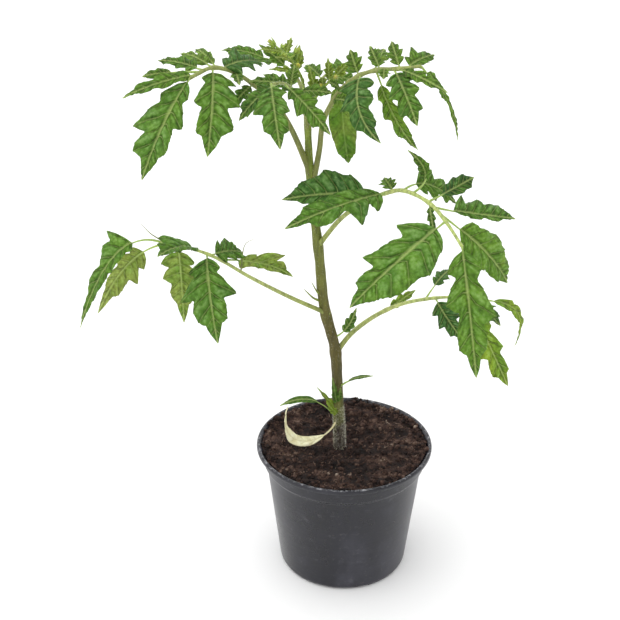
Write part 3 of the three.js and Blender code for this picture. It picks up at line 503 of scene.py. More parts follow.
def leaflet(spec, seed, path=None):   # on a path, or at its own root point
    rng = np.random.default_rng(seed)
    spec = {**plainLeaflet, **spec}
    root = np.array(spec["start"] if path is None else alongPath(path, spec["start"]), float)
    tip = np.array(spec["tip"], float)
    azimuth, elevation = np.radians(spec["faces"])
    facing = (*(math.cos(elevation) * arc(1, azimuth)[0]), math.sin(elevation))
    chord = tip - root
    lateral = unit(np.cross(chord, facing))
    arch = spec["arch"] * np.linalg.norm(chord) * unit(np.cross(lateral, chord))
    bends = spec.get("overTwice", [spec.get("over", (root + tip) / 2 + arch)])
    controls = np.array([root, *bends, tip], float)
    bare, quilt, pale = spec["bare"], spec["quilt"], spec["veins"]

    def rib(t):
        return bezier(controls, t)

    def ribAhead(t):
        return unit(bezier(np.diff(controls, axis=0), t) + 1e-6 * chord)

    length = np.linalg.norm(np.diff(rib(np.linspace(bare, 1, 24)), axis=0), axis=1).sum()
    intervals = 2 * len(spec["left"]) + 2
    steps = np.linspace(0, intervals, intervals * blade["rowsBetween"] + 1)
    rows = steps - 0.1 * np.sin(fullTurn * steps)   # closer rows along each vein
    rows[-1] = intervals - 1e-6
    sides = [bladeSide(spec[side], cut, rows, length, rng)
             for side, cut in zip(("left", "right"), np.broadcast_to(spec["notch"], 2))]
    middle = (sides[0][1] + sides[1][1]) / 2
    drift = rng.normal(0, 5)
    twist = np.radians(spec.get("twist", drift))
    angle = math.radians(blade["fold"])
    toVeinRow = np.abs(rows - np.round(rows))
    veined = (rows > 0.5) * (rows < intervals - 0.5)
    columns = []
    for sign, (v, inner, half, gap) in zip((1, -1), sides):
        phase, waves = rng.random() * 6.28, 2.2 + 1.2 * rng.random()
        size = np.clip(half / 9, 0, 1.3)
        for u in (np.arange(1, blade["columns"] + 1) / blade["columns"]) ** 0.9:
            w = inner + (v - inner) * u
            w = w if u > 0.25 else middle + (w - middle) * u / 0.25
            t = bare + (1 - bare) * w
            wide = half * u
            ahead = ribAhead(t)
            across = (lateral * np.cos(twist * w)[:, None]
                      + np.cross(lateral, ahead) * np.sin(twist * w)[:, None])
            normal = np.cross(across, ahead)
            pillow = np.sin(math.pi * (rows % 1)) ** 0.8 * math.sin(math.pi * u ** 0.8) ** 0.7
            toVein = toVeinRow * gap
            sideVein = bell(toVein, 0, blade["veinWidth"]) * (1 - 0.7 * u) * veined
            besideVein = bell(toVein, *blade["besideVein"]) * (1 - 0.5 * u) * veined
            flat = np.stack([v * length, sign * wide * 0.5, 0 * w], -1)   # longer along the side veins
            folds = ripples(flat, blade["wrinkleSize"], seed + 3, 12)
            fineFolds = ripples(flat, blade["fineWrinkleSize"], seed + 5, 12)
            rise = wide * math.sin(angle) - blade["curl"] * wide ** 2 - blade["droop"] * wide * u ** 2
            rise += quilt * blade["quilt"] * size * pillow - blade["groove"] * sideVein
            rise += spec["wave"] * blade["wave"] * size * u ** 2.4 * np.sin(waves * fullTurn * w + phase)
            rise += quilt * min(1, 2 * u) * (blade["wrinkle"] * folds + blade["fineWrinkle"] * fineFolds)
            # the swell mark: painted light on the quilting and folds, painted shade beside the veins and the
            # midrib
            relief = (pillow * size, folds, fineFolds, besideVein, bell(wide, *blade["besideRib"]))
            swell = sum(share * each for share, each in zip(blade["relief"], relief))
            slant = (blade["slantBase"] + blade["slantRise"] * w) * np.minimum(1, 3 * (1 - w))
            point = (rib(t) + across * (sign * wide * math.cos(angle))[:, None]
                     + ahead * (wide * slant)[:, None])
            thick = blade["thick"] * (1 - blade["thinner"] * u ** 3)
            columns.append((sign * u, point + normal * (rise + thick / 2)[:, None],
                            point + normal * (rise - thick / 2 - blade["ridge"] * sideVein)[:, None],
                            pale * np.maximum(0.9 * sideVein, bell(wide, 0, blade["ribWidth"])),
                            np.full(len(rows), u), np.clip(0.4 + swell * quilt ** 0.5, 0, 1)))
    t = bare + (1 - bare) * middle
    foot, normal = rib(t), np.cross(lateral, ribAhead(t))
    half, one = blade["thick"] / 2, np.ones(len(rows))
    columns.append((0, foot + normal * (half - 0.1), foot - normal * half, pale * one, 0 * one, 0.5 * one))
    columns.sort(key=lambda c: c[0])
    top, under, vein, rim, swell = (np.stack(c, 1) for c in list(zip(*columns))[1:])
    patches = blade["patches"] * ripples(top, blade["patchSize"], seed + 7)
    tone = spec["tone"] + patches + blade["rimTone"] * rim ** 3
    skin = sheet(top, under, tone=tone, vein=vein, rim=rim, swell=swell)
    ribPlaces = np.linspace(0, 0.985, 40)
    radii = np.interp(ribPlaces, [0, bare, 0.6, 0.985],
                      [blade["petiole"], blade["petiole"] * 0.58, *blade["midrib"]]) * spec["rib"]
    sink = np.interp(ribPlaces, [0, bare, 1], [0, 0.45, 0.1])[:, None]
    sunk = rib(ribPlaces) - np.cross(lateral, ribAhead(ribPlaces)) * sink
    midrib = tube(sunk, radii, 8, vein=0.9 * pale, tone=spec["tone"] * 0.6 + 0.3, under=0.55, swell=0.75)
    return [skin, midrib]


# every leaf is a stalk with leaflets along it. Its buds are small leaflets that are one piece with it

leaves = {
    "lower_left": {
        "stalk": [(-12, -1, 205), (-39, -8, 221), (-65, -18, 240), (-87, -27, 258), (-103, -33, 267),
                  (-121, -38, 273)],
        "radius": (1.6, 0.8),
        "threads": [(0.97, (-126.5, -40, 279.5), (-132, -42, 287)),
                    (0.55, (-68.5, -11, 261), (-63, -6, 263))],
        "leaflets": {
            "front": grows(0.76, (-83, -62, 212), (-97, 12), 0.38, [(0.1, 13), (0.3, 22), (0.62, 11)],
                [(0.1, 9), (0.33, 18), (0.62, 10)], bare=0.05),
            "inner_back": grows(0.68, (-38, 15, 226), (80, 5), 0.95, [(0.1, 8), (0.42, 14), (0.72, 4)],
                [(0.08, 9), (0.34, 7), (0.62, 5)], bare=0.22, over=(-56, 9, 243), notch=(0.6, 0.3)),
            "inner_top": grows(0.74, (-71, -5, 252), (-80, 50), 0.3, [(0.08, 9), (0.35, 11), (0.65, 7)],
                [(0.1, 9), (0.35, 12), (0.65, 8)], arch=0.2),
            "outer_top": grows(0.83, (-117, -72, 277), (-95, 60), 0.42,
                [(0.1, 19), (0.36, 15), (0.66, 8)], [(0.12, 8), (0.38, 9), (0.66, 6)], bare=0.04,
                arch=0.16),
            "outer_back": grows(0.91, (-112, -16, 204), (95, 5), 0.9, [(0.12, 10), (0.36, 11), (0.62, 8)],
                [(0.12, 13), (0.36, 13), (0.62, 8)], bare=0.1),
            "end_back": grows(0.96, (-170, -22, 213), (50, 10), 1, [(0.1, 10), (0.3, 14), (0.6, 8)],
                [(0.1, 8), (0.3, 9), (0.6, 6)], bare=0.3, over=(-146, -30, 265)),
            "end": grows(1, (-175, -52, 217), (-125, 25), 0.45, [(0.06, 20), (0.38, 9), (0.66, 7)],
                [(0.05, 6), (0.36, 8), (0.66, 6)], bare=0.3, over=(-150, -50, 289)),
        },
    },
    "lower_right": {
        "stalk": [(-8, 0, 172), (4, 3, 188), (21, 14, 197), (39, 25, 201), (61, 38, 200), (84, 50, 196),
                  (106, 60, 189)],
        "radius": (1.9, 0.8),
        "leaflets": {
            "back_top": grows(0.61, (80, 86, 202), (-30, 75), 0.2, even(12), bare=0.3, arch=0.2),
            "front_inner": grows(0.67, (86, 24, 173), (-110, 15), 0.02, even(20), bare=0.1),
            "front_outer": grows(0.86, (123, 34, 130), (-80, 10), 0.85,
                [(0.2, 10), (0.45, 11), (0.75, 8)], [(0.2, 8), (0.45, 9), (0.75, 6)], bare=0.14),
            "back_outer": grows(0.83, (121, 82, 157), (80, 20), 0.1, even(20), bare=0.3),
            "end": grows(1, (132, 74, 143), (-50, 45), 0.9, smooth(13), bare=0.08, over=(144, 72, 181)),
        },
        "buds": [
            grows(0.37, (51, 48, 202), (-60, 40), 0.8, even(9)),
        ],
    },
    "middle_right": {
        "stalk": [(-20, 0, 256), (-3, -14, 283), (13, -27, 299), (24, -37, 308), (34, -46, 313),
                  (50, -64, 311), (59, -76, 304), (68, -90, 294)],
        "radius": (1.7, 0.9),
        "leaflets": {
            "inner_low": grows(0.51, (-37, -88, 303), (-100, 45), 0.35, [(0.12, 8), (0.4, 10), (0.7, 8)],
                [(0.1, 12), (0.3, 19), (0.7, 8)], bare=0.06, arch=0.1, notch=(0.25, 0.7)),
            "inner_top": grows(0.46, (-42, -30, 300), (-95, 40), 0.15,
                [(0.1, 14), (0.35, 16), (0.62, 10)], [(0.15, 6), (0.4, 8), (0.7, 5)], arch=0.22,
                notch=(0.1, 0.3)),
            "upright": grows(0.66, (37, -30, 334), (-120, 0), 0.4, even(10), bare=0.36, notch=0.2,
                over=(58, -40, 321)),
            "back": grows(0.61, (71, -14, 293), (-85, 45), 0.45, [(0.1, 9), (0.35, 10), (0.65, 7)],
                [(0.1, 9), (0.35, 12), (0.65, 8)], bare=0.28, over=(48, -30, 320)),
            "back_top": grows(0.75, (78, -40, 320), (-110, 20), 0.1, [(0.15, 4), (0.4, 6), (0.7, 5)],
                [(0.15, 5), (0.4, 7), (0.7, 5)], bare=0.34, arch=-0.06, notch=0.15),
            "outer_top": grows(0.79, (106, -40, 293), (-95, 55), 0.35, [(0.1, 4), (0.35, 5), (0.65, 4)],
                [(0.1, 12), (0.35, 12), (0.65, 11)], bare=0.24, arch=-0.03),
            "outer_low": grows(0.83, (103, -48, 252), (-60, 25), 0.6, [(0.08, 11), (0.35, 12), (0.7, 8)],
                [(0.05, 9), (0.35, 15), (0.7, 9)], bare=0.2, arch=0.2, notch=0.2),
            "front": grows(0.87, (2, -118, 266), (-105, 42), 0.4, [(0.12, 19), (0.5, 17), (0.75, 9)],
                [(0.07, 14), (0.26, 21), (0.6, 15)], bare=0.1, arch=0.1, notch=(0.55, 0.06)),
            "end": grows(1, (81, -98, 210), (-88, 5), 0.5, [(0.1, 11), (0.32, 14), (0.68, 9)],
                [(0.1, 10), (0.42, 16), (0.72, 8)], bare=0.03, arch=0.08, notch=(0.5, 0.45)),
        },
        "buds": [
            grows(0.55, (23, -26, 314), (-90, 50), 0.4, even(12)),
            grows(0.76, (53, -74, 294), (-100, 0), 0.3, even(6)),
        ],
    },
    "upper_left": {
        "stalk": [(-25, 0, 308), (-38, -8, 342), (-47, -16, 359), (-59, -28, 374), (-70, -38, 384),
                  (-82, -48, 389), (-94, -58, 385)],
        "radius": (2.1, 0.9),
        "leaflets": {
            "front": grows(0.87, (-83, -76, 343), (-70, 18), 0.45, [(0.06, 7), (0.3, 11), (0.62, 9)],
                [(0.04, 15), (0.26, 17), (0.52, 14)], bare=0.06, arch=0.14),
            "end": grows(1, (-121, -84, 331), (-112, 28), 0.4, [(0.15, 11), (0.42, 20), (0.68, 11)],
                [(0.12, 8), (0.34, 12), (0.58, 11)], bare=0.04),
            "outer": grows(0.96, (-132, -70, 376), (-95, 50), 0.5, [(0.1, 5), (0.35, 6), (0.7, 4)],
                [(0.1, 4), (0.4, 5), (0.7, 3)], bare=0.08, notch=0.2),
            "outer_back": grows(0.92, (-115, -40, 391), (-95, 60), 0.4, [(0.1, 6), (0.35, 6), (0.7, 4)],
                [(0.1, 6), (0.35, 5), (0.7, 4)], bare=0.14),
            "back": grows(0.87, (-105, -16, 390), (-90, 50), 0.7, [(0.1, 5), (0.35, 5), (0.65, 3)],
                [(0.1, 6), (0.3, 8), (0.65, 4)], bare=0.14),
            "inner_back": grows(0.82, (-55, -4, 381), (-60, 60), 0.1, [(0.08, 10), (0.35, 10), (0.65, 6)],
                [(0.1, 8), (0.35, 12), (0.65, 7)], bare=0.05, arch=0.16),
        },
        "buds": [
            grows(0.94, (-122, -57, 385.5), (-95, 50), 0.5,
                [(0.1, 3), (0.35, 4), (0.7, 3)], bare=0.5, notch=0.2),
            grows(0.85, (-96, -12, 392), (-90, 50), 0.6, [(0.1, 3), (0.35, 4), (0.7, 3)],
                notch=0.2),
            grows(0.62, (-72, -42, 363), (-100, 30), 0.3, even(10)),
            grows(0.53, (-57, -40, 364), (-100, 35), 0.4, even(9)),
            grows(0.74, (-65, -55, 380.5), (-80, 50), 0.45, even(9)),
        ],
    },
    "upper_right": {
        "stalk": [(-24, 0, 297), (-19, -3, 325), (-17, -6, 343), (-12, -12, 357), (-5, -18, 369),
                  (5, -25, 379), (16, -30, 384), (30, -38, 387), (42, -44, 390)],
        "radius": (2.1, 0.9),
        "leaflets": {
            "front": grows(0.7, (19, -62, 348), (-95, 22), 0.12, [(0.08, 11), (0.32, 11), (0.62, 7)],
                bare=0.06, over=(-1, -62, 367)),
            "inner_back": grows(0.63, (0, 4, 314), (95, 0), 0.8, blunt(19), bare=0.15, quilt=0.3,
                veins=0.3, rib=0.5, notch=0, over=(-9, 12, 362)),
            "back": grows(0.77, (22, 10, 388), (-80, 60), 0.8, even(12)),
            "hanging_back": grows(0.78, (44, -16, 330), (-120, 5), 0.7, [(0.12, 6), (0.35, 7), (0.65, 5)],
                [(0.12, 6), (0.35, 8), (0.65, 5)], bare=0.15, arch=0.18),
            "hanging": grows(0.87, (40, -66, 360), (-85, 22), 0.4, [(0.1, 9), (0.36, 11), (0.65, 8)],
                [(0.12, 9), (0.36, 9), (0.65, 7)], bare=0.1, arch=0.14),
            "outer_back": grows(0.93, (52, -14, 390), (-90, 50), 0.5, [(0.1, 6), (0.35, 6), (0.65, 4)],
                [(0.1, 8), (0.3, 10), (0.65, 4)], bare=0.1),
            "end": grows(1, (66, -48, 346), (-20, 35), 0.6, [(0.02, 7), (0.35, 4), (0.7, 3)],
                [(0.02, 6), (0.35, 4), (0.7, 3)], bare=0.1, arch=0.2),
        },
        "buds": [
            grows(0.69, (0, -15, 393), (-110, 40), 0.6, even(12)),
            grows(0.9, (25, -22, 400), (-100, 25), 0.5, even(11)),
            grows(0.56, (-14, -30, 377), (-90, 40), 0.5, even(8)),
            grows(0.5, (2, -36, 365), (-90, 30), 0.55, even(9)),
            grows(0.8, (12, -18, 396), (-90, 25), 0.5, even(9)),
            grows(0.82, (20, -44, 382), (-90, 40), 0.6, even(9)),
            grows(0.89, (57, -62, 379), (-90, 40), 0.5, even(9)),
        ],
    },
    "top_front": {
        "stalk": [(-27, 0, 338), (-29, -12, 358), (-35, -28, 371), (-40, -44, 379), (-46, -58, 382)],
        "radius": (1.5, 0.7),
        "leaflets": {
            "end": grows(1, (-39, -92, 353), (-90, 22), 0.4, [(0.12, 10), (0.3, 13), (0.62, 8)],
                [(0.12, 9), (0.36, 9), (0.65, 7)], bare=0.06, arch=0.14),
            "left": grows(0.9, (-66, -52, 358), (-120, 35), 0.3, even(16), bare=0.14, arch=0.2),
            "right": grows(0.78, (-11, -62, 353), (-75, 35), 0.45, [(0.1, 6), (0.35, 9), (0.65, 6)],
                [(0.1, 6), (0.35, 8), (0.65, 5)]),
            "right_inner": grows(0.5, (-10, -28, 369), (-85, 60), 0.5, even(13), bare=0.18),
        },
        "buds": [
            grows(0.5, (-54, -14, 377), (-100, 60), 0.4, even(12)),
            grows(0.62, (-34, -24, 385), (-90, 20), 0.5, even(10)),
            grows(0.74, (-61, -36, 378), (-90, 45), 0.4, even(10)),
        ],
    },
    "top_back": {
        "stalk": [(-28, 0, 348), (-32, 12, 364), (-40, 28, 370), (-49, 44, 371), (-57, 54, 371)],
        "radius": (1.4, 0.7),
        "leaflets": {
            "end": grows(1, (-89, 66, 374), (-95, 60), 0.5, [(0.1, 5), (0.35, 7), (0.65, 5)],
                [(0.1, 6), (0.35, 8), (0.65, 5)], bare=0.06, arch=0.16),
            "left": grows(0.8, (-68, 20, 375), (-120, 60), 0.5, even(15), arch=0.1),
            "right": grows(0.8, (-40, 82, 368), (-80, 60), 0.5, even(18), arch=0.14),
        },
        "buds": [
            grows(0.45, (-33, 29, 386), (-90, 30), 0.55, even(10)),
            grows(0.6, (-60, 30, 386), (-90, 40), 0.5, even(10)),
        ],
    },
    "top_right_back": {
        "stalk": [(-27, 0, 340), (-22, 12, 359), (-18, 26, 365), (-13, 40, 366)],
        "radius": (1.4, 0.7),
        "leaflets": {
            "end": grows(1, (4, 74, 360), (-60, 65), 0.5, even(18), bare=0.08),
            "right": grows(0.7, (6, 24, 364), (-70, 60), 0.5, even(15), bare=0.14),
        },
        "buds": [
            grows(0.7, (-30, 50, 368), (-110, 65), 0.5, even(13)),
        ],
    },
}

stalk = {
    "stops": [(0.0, (0.29, 0.33, 0.08)), (0.4, (0.5, 0.56, 0.19)), (1.0, (0.5, 0.6, 0.18))],
    "hairColour": (0.9, 0.92, 0.76),
    "hairs": 420,
    "hairLength": 0.9,
    "foot": 0.35,     # how much thicker it is at its foot, and where a leaflet starts
    "footLength": 0.035,
    "joint": 0.16,
    "jointLength": 0.02,
    # the upper stalks are darkened towards olive: partly their own colour, partly painted shade
    "blush": {"upper": np.interp(np.linspace(0, 1, 20), [0, 0.35, 0.7], [0.85, 0.85, 0.7]), "top": 0.6},
}

leafSkin = leafMaterial(leafLook)
stalkSkin = growthMaterial("stalkSkin", stalk["stops"], stalk["hairColour"])


def placeBoth(node, woodParts, leafParts, wood):   # the smallest leaflets belong to their stalk
    parts = woodParts + leafParts
    obj = place(node, joined(parts), wood)
    if leafParts:
        obj.data.materials.append(leafSkin)
        leafy = [i >= len(woodParts) for i in range(len(parts))]
        which = [np.repeat(leafy, [len(p[kind]) for p in parts]) for kind in ("quads", "tris")]
        obj.data.polygons.foreach_set("material_index", np.concatenate(which).astype(np.int32))


def youngLeaves(specs, seed, path=None, **look):   # the parts of a few small leaflets
    parts = []
    for i, spec in enumerate(specs):
        parts += leaflet({"wave": 0.6, **look, **spec}, seed + i, path)
    return parts


def growLeaf(name, leaf, order):
    path = smoothPath(leaf["stalk"])
    share = np.linspace(0, 1, len(path))
    thick, thin = leaf["radius"]
    buds = leaf.get("buds", [])
    radii = (thick + (thin - thick) * share) * (1 + stalk["foot"] * bell(share, 0, stalk["footLength"]))
    for spec in [*leaf["leaflets"].values(), *buds]:
        radii = radii * (1 + stalk["joint"] * bell(share, spec["start"], stalk["jointLength"]))
    blush = stalk["blush"].get(name.split("_")[0], 0)
    rng = np.random.default_rng(400 + order)
    grown = [tube(path, radii, 16, 3, 0.07, blush=blush),
             hairs(path, radii, stalk["hairs"], stalk["hairLength"], rng)]
    for at, bend, tip in leaf.get("threads", []):   # bare little stalks
        line = smoothPath([alongPath(path, at), bend, tip], 20)
        grown.append(tube(line, np.linspace(0.55, 0.12, 20), 8, along=0.2, blush=0.9))
    young = youngLeaves(buds, 900 + 10 * order, path)
    placeBoth(f"{name}_leaf_stalk", grown, young, stalkSkin)
    for i, (spot, spec) in enumerate(leaf["leaflets"].items()):
        place(f"{name}_leaflet_{spot}", joined(leaflet(spec, 100 * order + i, path)), leafSkin)


for order, (name, leaf) in enumerate(leaves.items()):
    growLeaf(name, leaf, order)
print("leaves grown:", len(leaves))


# the main stem, which leans to the left as it climbs

stem = {
    "points": [(-3, 0, 74), (-3, 0, 92), (-5, 0, 135), (-7.2, 0, 176), (-10.6, 0, 191), (-14, 0, 204),
               (-16.4, 0, 219), (-18.6, 0, 245), (-20.6, 0, 264), (-25, 0, 303), (-27, 0, 344),
               (-28, 0, 359)],
    "foot": 4.0,      # radius in the soil
    "top": 1.9,
    "taper": 2.5,
    "joints": [0.35, 0.46, 0.64, 0.79, 0.83, 0.94],   # where leaves grow out, a little thicker
    "joint": 0.1,
    "jointLength": 0.014,
    "stops": [(0.0, (0.05, 0.036, 0.026)), (0.125, (0.05, 0.036, 0.026)), (0.17, (0.15, 0.155, 0.045)),
              (0.2, (0.16, 0.165, 0.04)), (0.26, (0.1, 0.085, 0.018)), (0.42, (0.108, 0.088, 0.016)),
              (0.62, (0.17, 0.185, 0.03)), (1.0, (0.25, 0.33, 0.05))],
    "hairColour": (0.86, 0.84, 0.66),
    "hairs": 2600,
    "hairLength": 1.1,
    "footHairs": 1900,   # longer and thicker ones just above the soil
    "footHairRange": (0.065, 0.2),
    "footHairLength": 1.5,
    "footHairThick": 0.075,
}

# nubs of new growth on the stem, one piece with it: root, tip and the radius at the root
nubs = [((-16, 0, 214), (-29, -6, 226), 1.1), ((-16, 0, 218), (-24, -5, 231), 1.0)]

# small leaves that are one piece with the stem, where they crowd round it
shoots = [
    grows((-5, -1, 130), (-9, -8, 158), (-90, 10), 0.3, even(6)),
    grows((-5, -1, 134), (-3, -10, 151), (-80, 20), 0.5, even(5)),
    grows((-5, 0, 126), (-20, -5, 148), (-95, 40), 1.1, even(5)),
    grows((-5, -2, 124), (-13, -15, 141), (-90, 30), 1.05, even(6)),
]


def growStem():
    path = smoothPath(stem["points"], 320)
    share = np.linspace(0, 1, len(path))
    radii = stem["foot"] + (stem["top"] - stem["foot"]) * share ** stem["taper"]
    for joint in stem["joints"]:
        radii = radii * (1 + stem["joint"] * bell(share, joint, stem["jointLength"]))
    radii = radii * (1 + 0.025 * np.sin(share * 61) + 0.02 * np.sin(share * 143 + 1))
    low = slice(*(int(at * len(path)) for at in stem["footHairRange"]))
    rng = np.random.default_rng(21)
    grown = [tube(path, radii, 28, 5, 0.045),
             hairs(path, radii, stem["hairs"], stem["hairLength"], rng),
             hairs(path[low], radii[low], stem["footHairs"], stem["footHairLength"], rng,
                   stem["footHairThick"])]
    for root, tip, thick in nubs:
        line = smoothPath([root, (np.array(root) + tip) / 2 - (0, 0, 2), tip], 40)
        thin = thick * np.linspace(1, 0.2, 40)
        grown += [tube(line, thin, 12, 3, 0.08, along=0.9), hairs(line, thin, 90, 0.7, rng)]
    young = youngLeaves(shoots, 1600, veins=0.5, rib=0.7)
    skin = growthMaterial("stemSkin", stem["stops"], stem["hairColour"], 0.035)
    placeBoth("main_stem", grown, young, skin)


growStem()
print("stem grown")


# small leaves and shoots that grow straight out of the main stem

stemLeaves = {
    "seed_leaf_right": grows((-4, -1, 146), (20, -10, 161), (-60, 70), 0.15, smooth(4), notch=0,
        bare=0.4, over=(2, -8, 159), wave=0.3, quilt=0.2),
    "seed_leaf_left": grows((-5, 0, 118), (-46, -20, 141), (-85, 62), 0.3, smooth(6), notch=0,
        bare=0.42, over=(-20, -12, 152), wave=0.4, quilt=0.3, rib=0.62),
    "side_shoot": grows((-8, 0, 186), (7, -5, 212), (-100, 30), 0.35, even(9), notch=0.3, bare=0.3,
        over=(4, -6, 196), wave=0.6),
}
witheredLeaf = grows((-5, 0, 120), (-40, -25, 144), (-70, 40), 0.4, blunt(9), notch=0, bare=0.25,
    overTwice=[(-12, -16, 103), (-52, -26, 105)], wave=0.7, quilt=0.9, twist=8)
witheredLook = {
    "stops": [(0.3, (0.66, 0.6, 0.33)), (0.5, (0.88, 0.85, 0.56)), (0.7, (0.95, 0.94, 0.7))],
    "veinColour": (0.5, 0.4, 0.22),
    "rimColour": (0.38, 0.28, 0.15),
}


def witheredMaterial(look):
    material, tree, shader = newMaterial("witheredSkin")
    patch = noise(position(tree), 160.0, 5.0)
    fibre = noise(position(tree, (1, 1, 0.35)), 1100.0, 3.0)
    veined = mixed(times(mark(tree, "vein"), 0.4), ramp(patch, look["stops"]), look["veinColour"])
    rimmed = mixed(spread(mark(tree, "rim"), 0, 0.3, 0.75, 1), veined, look["rimColour"])
    worn = grained(rimmed, 0.3, fibre, 0.3, (0.6, 0.58, 0.5), 0.7)
    painted(shader, worn, spread(patch, 0.6, 0.85), 0.25)
    bumped(shader, plus(fibre, patch), 0.6, 0.0004)
    return material


for i, (name, spec) in enumerate(stemLeaves.items()):
    place(name, joined(leaflet(spec, 1200 + i)), leafSkin)
place("withered_seed_leaf", joined(leaflet(witheredLeaf, 1300)), witheredMaterial(witheredLook))
print("small stem leaves grown")


# trusses of flower buds at the top: the stalk's points, the middle of each bud and the young
# leaves between them

trusses = {
    "flower_buds_left": {
        "stalk": [(-28, 1, 354), (-31, 6, 370), (-38, 9, 381), (-50, 11, 391)],
        "buds": [(-50, 11, 391), (-43, 14, 388), (-42, 4, 384), (-34, 12, 386), (-33, 2, 379)],
        "young": [
            grows(0.8, (-57, 6, 388), (-90, 50), 1, even(7)),
            grows(0.6, (-47, -6, 386), (-90, 50), 1, even(7)),
            grows(0.5, (-30, 2, 388), (-80, 30), 1, even(6)),
            grows(0.75, (-38, 20, 393), (-90, 40), 1, even(6)),
            grows(0.4, (-51, -9, 379), (-90, 60), 1, even(8)),
            grows(0.2, (-33, -9, 377), (-90, 50), 1, even(7)),
        ],
    },
    "flower_buds_right": {
        "stalk": [(-26, -3, 352), (-20, -2, 362), (-13, 1, 369), (-5, 3, 374)],
        "buds": [(-5, 3, 374), (-9, -3, 373), (-13, 5, 374), (-18, -5, 368)],
        "young": [
            grows(0.3, (-26, -4, 380), (-90, 50), 1, even(8)),
            grows(0.7, (-14, 2, 384), (-90, 30), 1, even(7)),
            grows(0.8, (0, 4, 381), (-80, 50), 1, even(7)),
            grows(0.5, (-17, -11, 375), (-90, 50), 1, even(7)),
        ],
    },
}

bud = {
    "radius": 1.65,
    "length": 6.2,
    "sepals": 5,
    "stalk": 1.0,
    "twig": 0.6,
    "hairs": 60,
    "hairLength": 0.7,
    "stalkHairs": 260,
    "stalkHairLength": 0.8,
    "stops": [(0.0, (0.24, 0.38, 0.06)), (0.45, (0.38, 0.5, 0.07)), (0.8, (0.6, 0.62, 0.08)),
              (1.0, (0.75, 0.62, 0.1))],
    "hairColour": (0.72, 0.74, 0.5),
}


def budShape(centre, away, rng):   # a closed bud, with sepals pressed together into ribs
    half = away * (bud["length"] / 2 * rng.uniform(0.85, 1.1))
    at = np.linspace(-1, 1, 30)
    swelling = np.clip(1 - np.abs(at) ** 2.2, 0.03, 1) ** 0.6
    radii = bud["radius"] * swelling * np.interp(at, [-1, 0, 1], [1, 1, 0.55])
    line = centre + half * at[:, None]
    made = [tube(line, radii, 20, bud["sepals"], 0.13),
            hairs(line, radii, bud["hairs"], bud["hairLength"], rng)]
    across = unit(np.cross(away, rng.normal(size=3)))
    sepalRadii = np.interp(np.linspace(0, 1, 18), [0, 0.4, 1], [0.55, 0.6, 0.12])
    for k in range(bud["sepals"]):   # the sepals' free points stand out a little
        cos, sin = arc(bud["radius"], fullTurn * (k + 0.3 * rng.random()) / bud["sepals"])[0]
        out = across * cos + np.cross(away, across) * sin
        end = centre + half * rng.uniform(0.75, 1.2) + out * rng.uniform(0.8, 1.7)
        sepal = smoothPath([centre - half * 0.75 + out * 0.5, centre + out * 1.12, end], 18)
        made.append(tube(sepal, sepalRadii, 8, along=0.35))
    return made


def growTruss(name, truss, order):
    rng = np.random.default_rng(60 + order)
    path = smoothPath(truss["stalk"], 80)
    radii = bud["stalk"] * np.linspace(1, 0.7, 80)
    grown = [tube(path, radii, 14, 3, 0.08, along=0.3),
             hairs(path, radii, bud["stalkHairs"], bud["stalkHairLength"], rng)]
    for centre in np.array(truss["buds"], float):
        nearest = path[np.argmin(np.linalg.norm(path - centre, axis=1))]
        out = centre - nearest
        away = unit(path[-1] - path[-4])
        if np.linalg.norm(out) > 1:   # this bud has a twig of its own, which sags a little
            away = unit(out)
            twig = smoothPath([nearest, nearest + out * 0.5 - (0, 0, 0.8), centre], 20)
            grown.append(tube(twig, np.full(20, bud["twig"]), 10, along=0.3))
        grown += budShape(centre, away, rng)
    young = youngLeaves(truss["young"], 1400 + 10 * order, path)
    placeBoth(name, grown, young, budSkin)


budSkin = growthMaterial("budSkin", bud["stops"], bud["hairColour"])
for order, (name, truss) in enumerate(trusses.items()):
    growTruss(name, truss, order)
print("flower buds grown")


# the pot: one moulded shell with a rolled lip, a collar and drainage arches at the base edge

pot = {
    "profile": [   # radius, height and the rounding of each corner, outside first
        (0, 0, 0), (46.4, 0, 1.6), (48.1, 3.2, 1.2), (57.6, 84, 1.2), (60, 86, 1.4), (61, 96.2, 0.5),
        (64.7, 96.6, 0.5), (65, 98.6, 0.6), (64.3, 100, 0.8), (63.0, 100, 0.6), (61.4, 98.6, 0.8),
        (59.9, 96.4, 0.6), (58.6, 86.5, 1.2), (56, 84, 1.2), (46.5, 6, 1.5), (44.9, 4, 1), (0, 4, 0),
    ],
    "sides": 160,
    "arches": 4,
    "archAngle": 27.0,   # half the angle that an arch takes up
    "archDepth": 2.0,
    "archOuter": 52.0,
    "archInner": 31.0,
    "holeRadius": 4.0,
    "holeCircle": 37.0,
    "wobble": 0.12,      # the thin wall isn't perfectly round
    "sharpFrom": 28.0,   # degrees between faces
    "colour": [(0.36, (0.007, 0.007, 0.01)), (0.5, (0.011, 0.011, 0.017)), (0.64, (0.034, 0.034, 0.046))],
    "scuff": (0.16, 0.16, 0.18),
    "nick": (0.42, 0.42, 0.45),   # painted highlight in broken spots on the top of the lip
    "dust": (0.2, 0.17, 0.14),
}


def roundedProfile(corners, steps=5):
    spots = np.array(corners, float)[:, :2]
    run = [spots[:1]]
    for before, here, after, (_, _, rounding) in zip(spots, spots[1:], spots[2:], corners[1:]):
        ends = [here + unit(way) * min(rounding, np.linalg.norm(way) * 0.45)
                for way in (before - here, after - here)]
        run.append(bezier([ends[0], here, ends[1]], np.linspace(0, 1, steps)))
    run = np.vstack([*run, spots[-1:]])
    dense = []
    for a, b in zip(run, run[1:]):   # long straight runs get points between their ends
        count = max(1, int(np.linalg.norm(b - a) / 6))
        dense += [a + (b - a) * k / count for k in range(count)]
    return np.array([*dense, run[-1]])


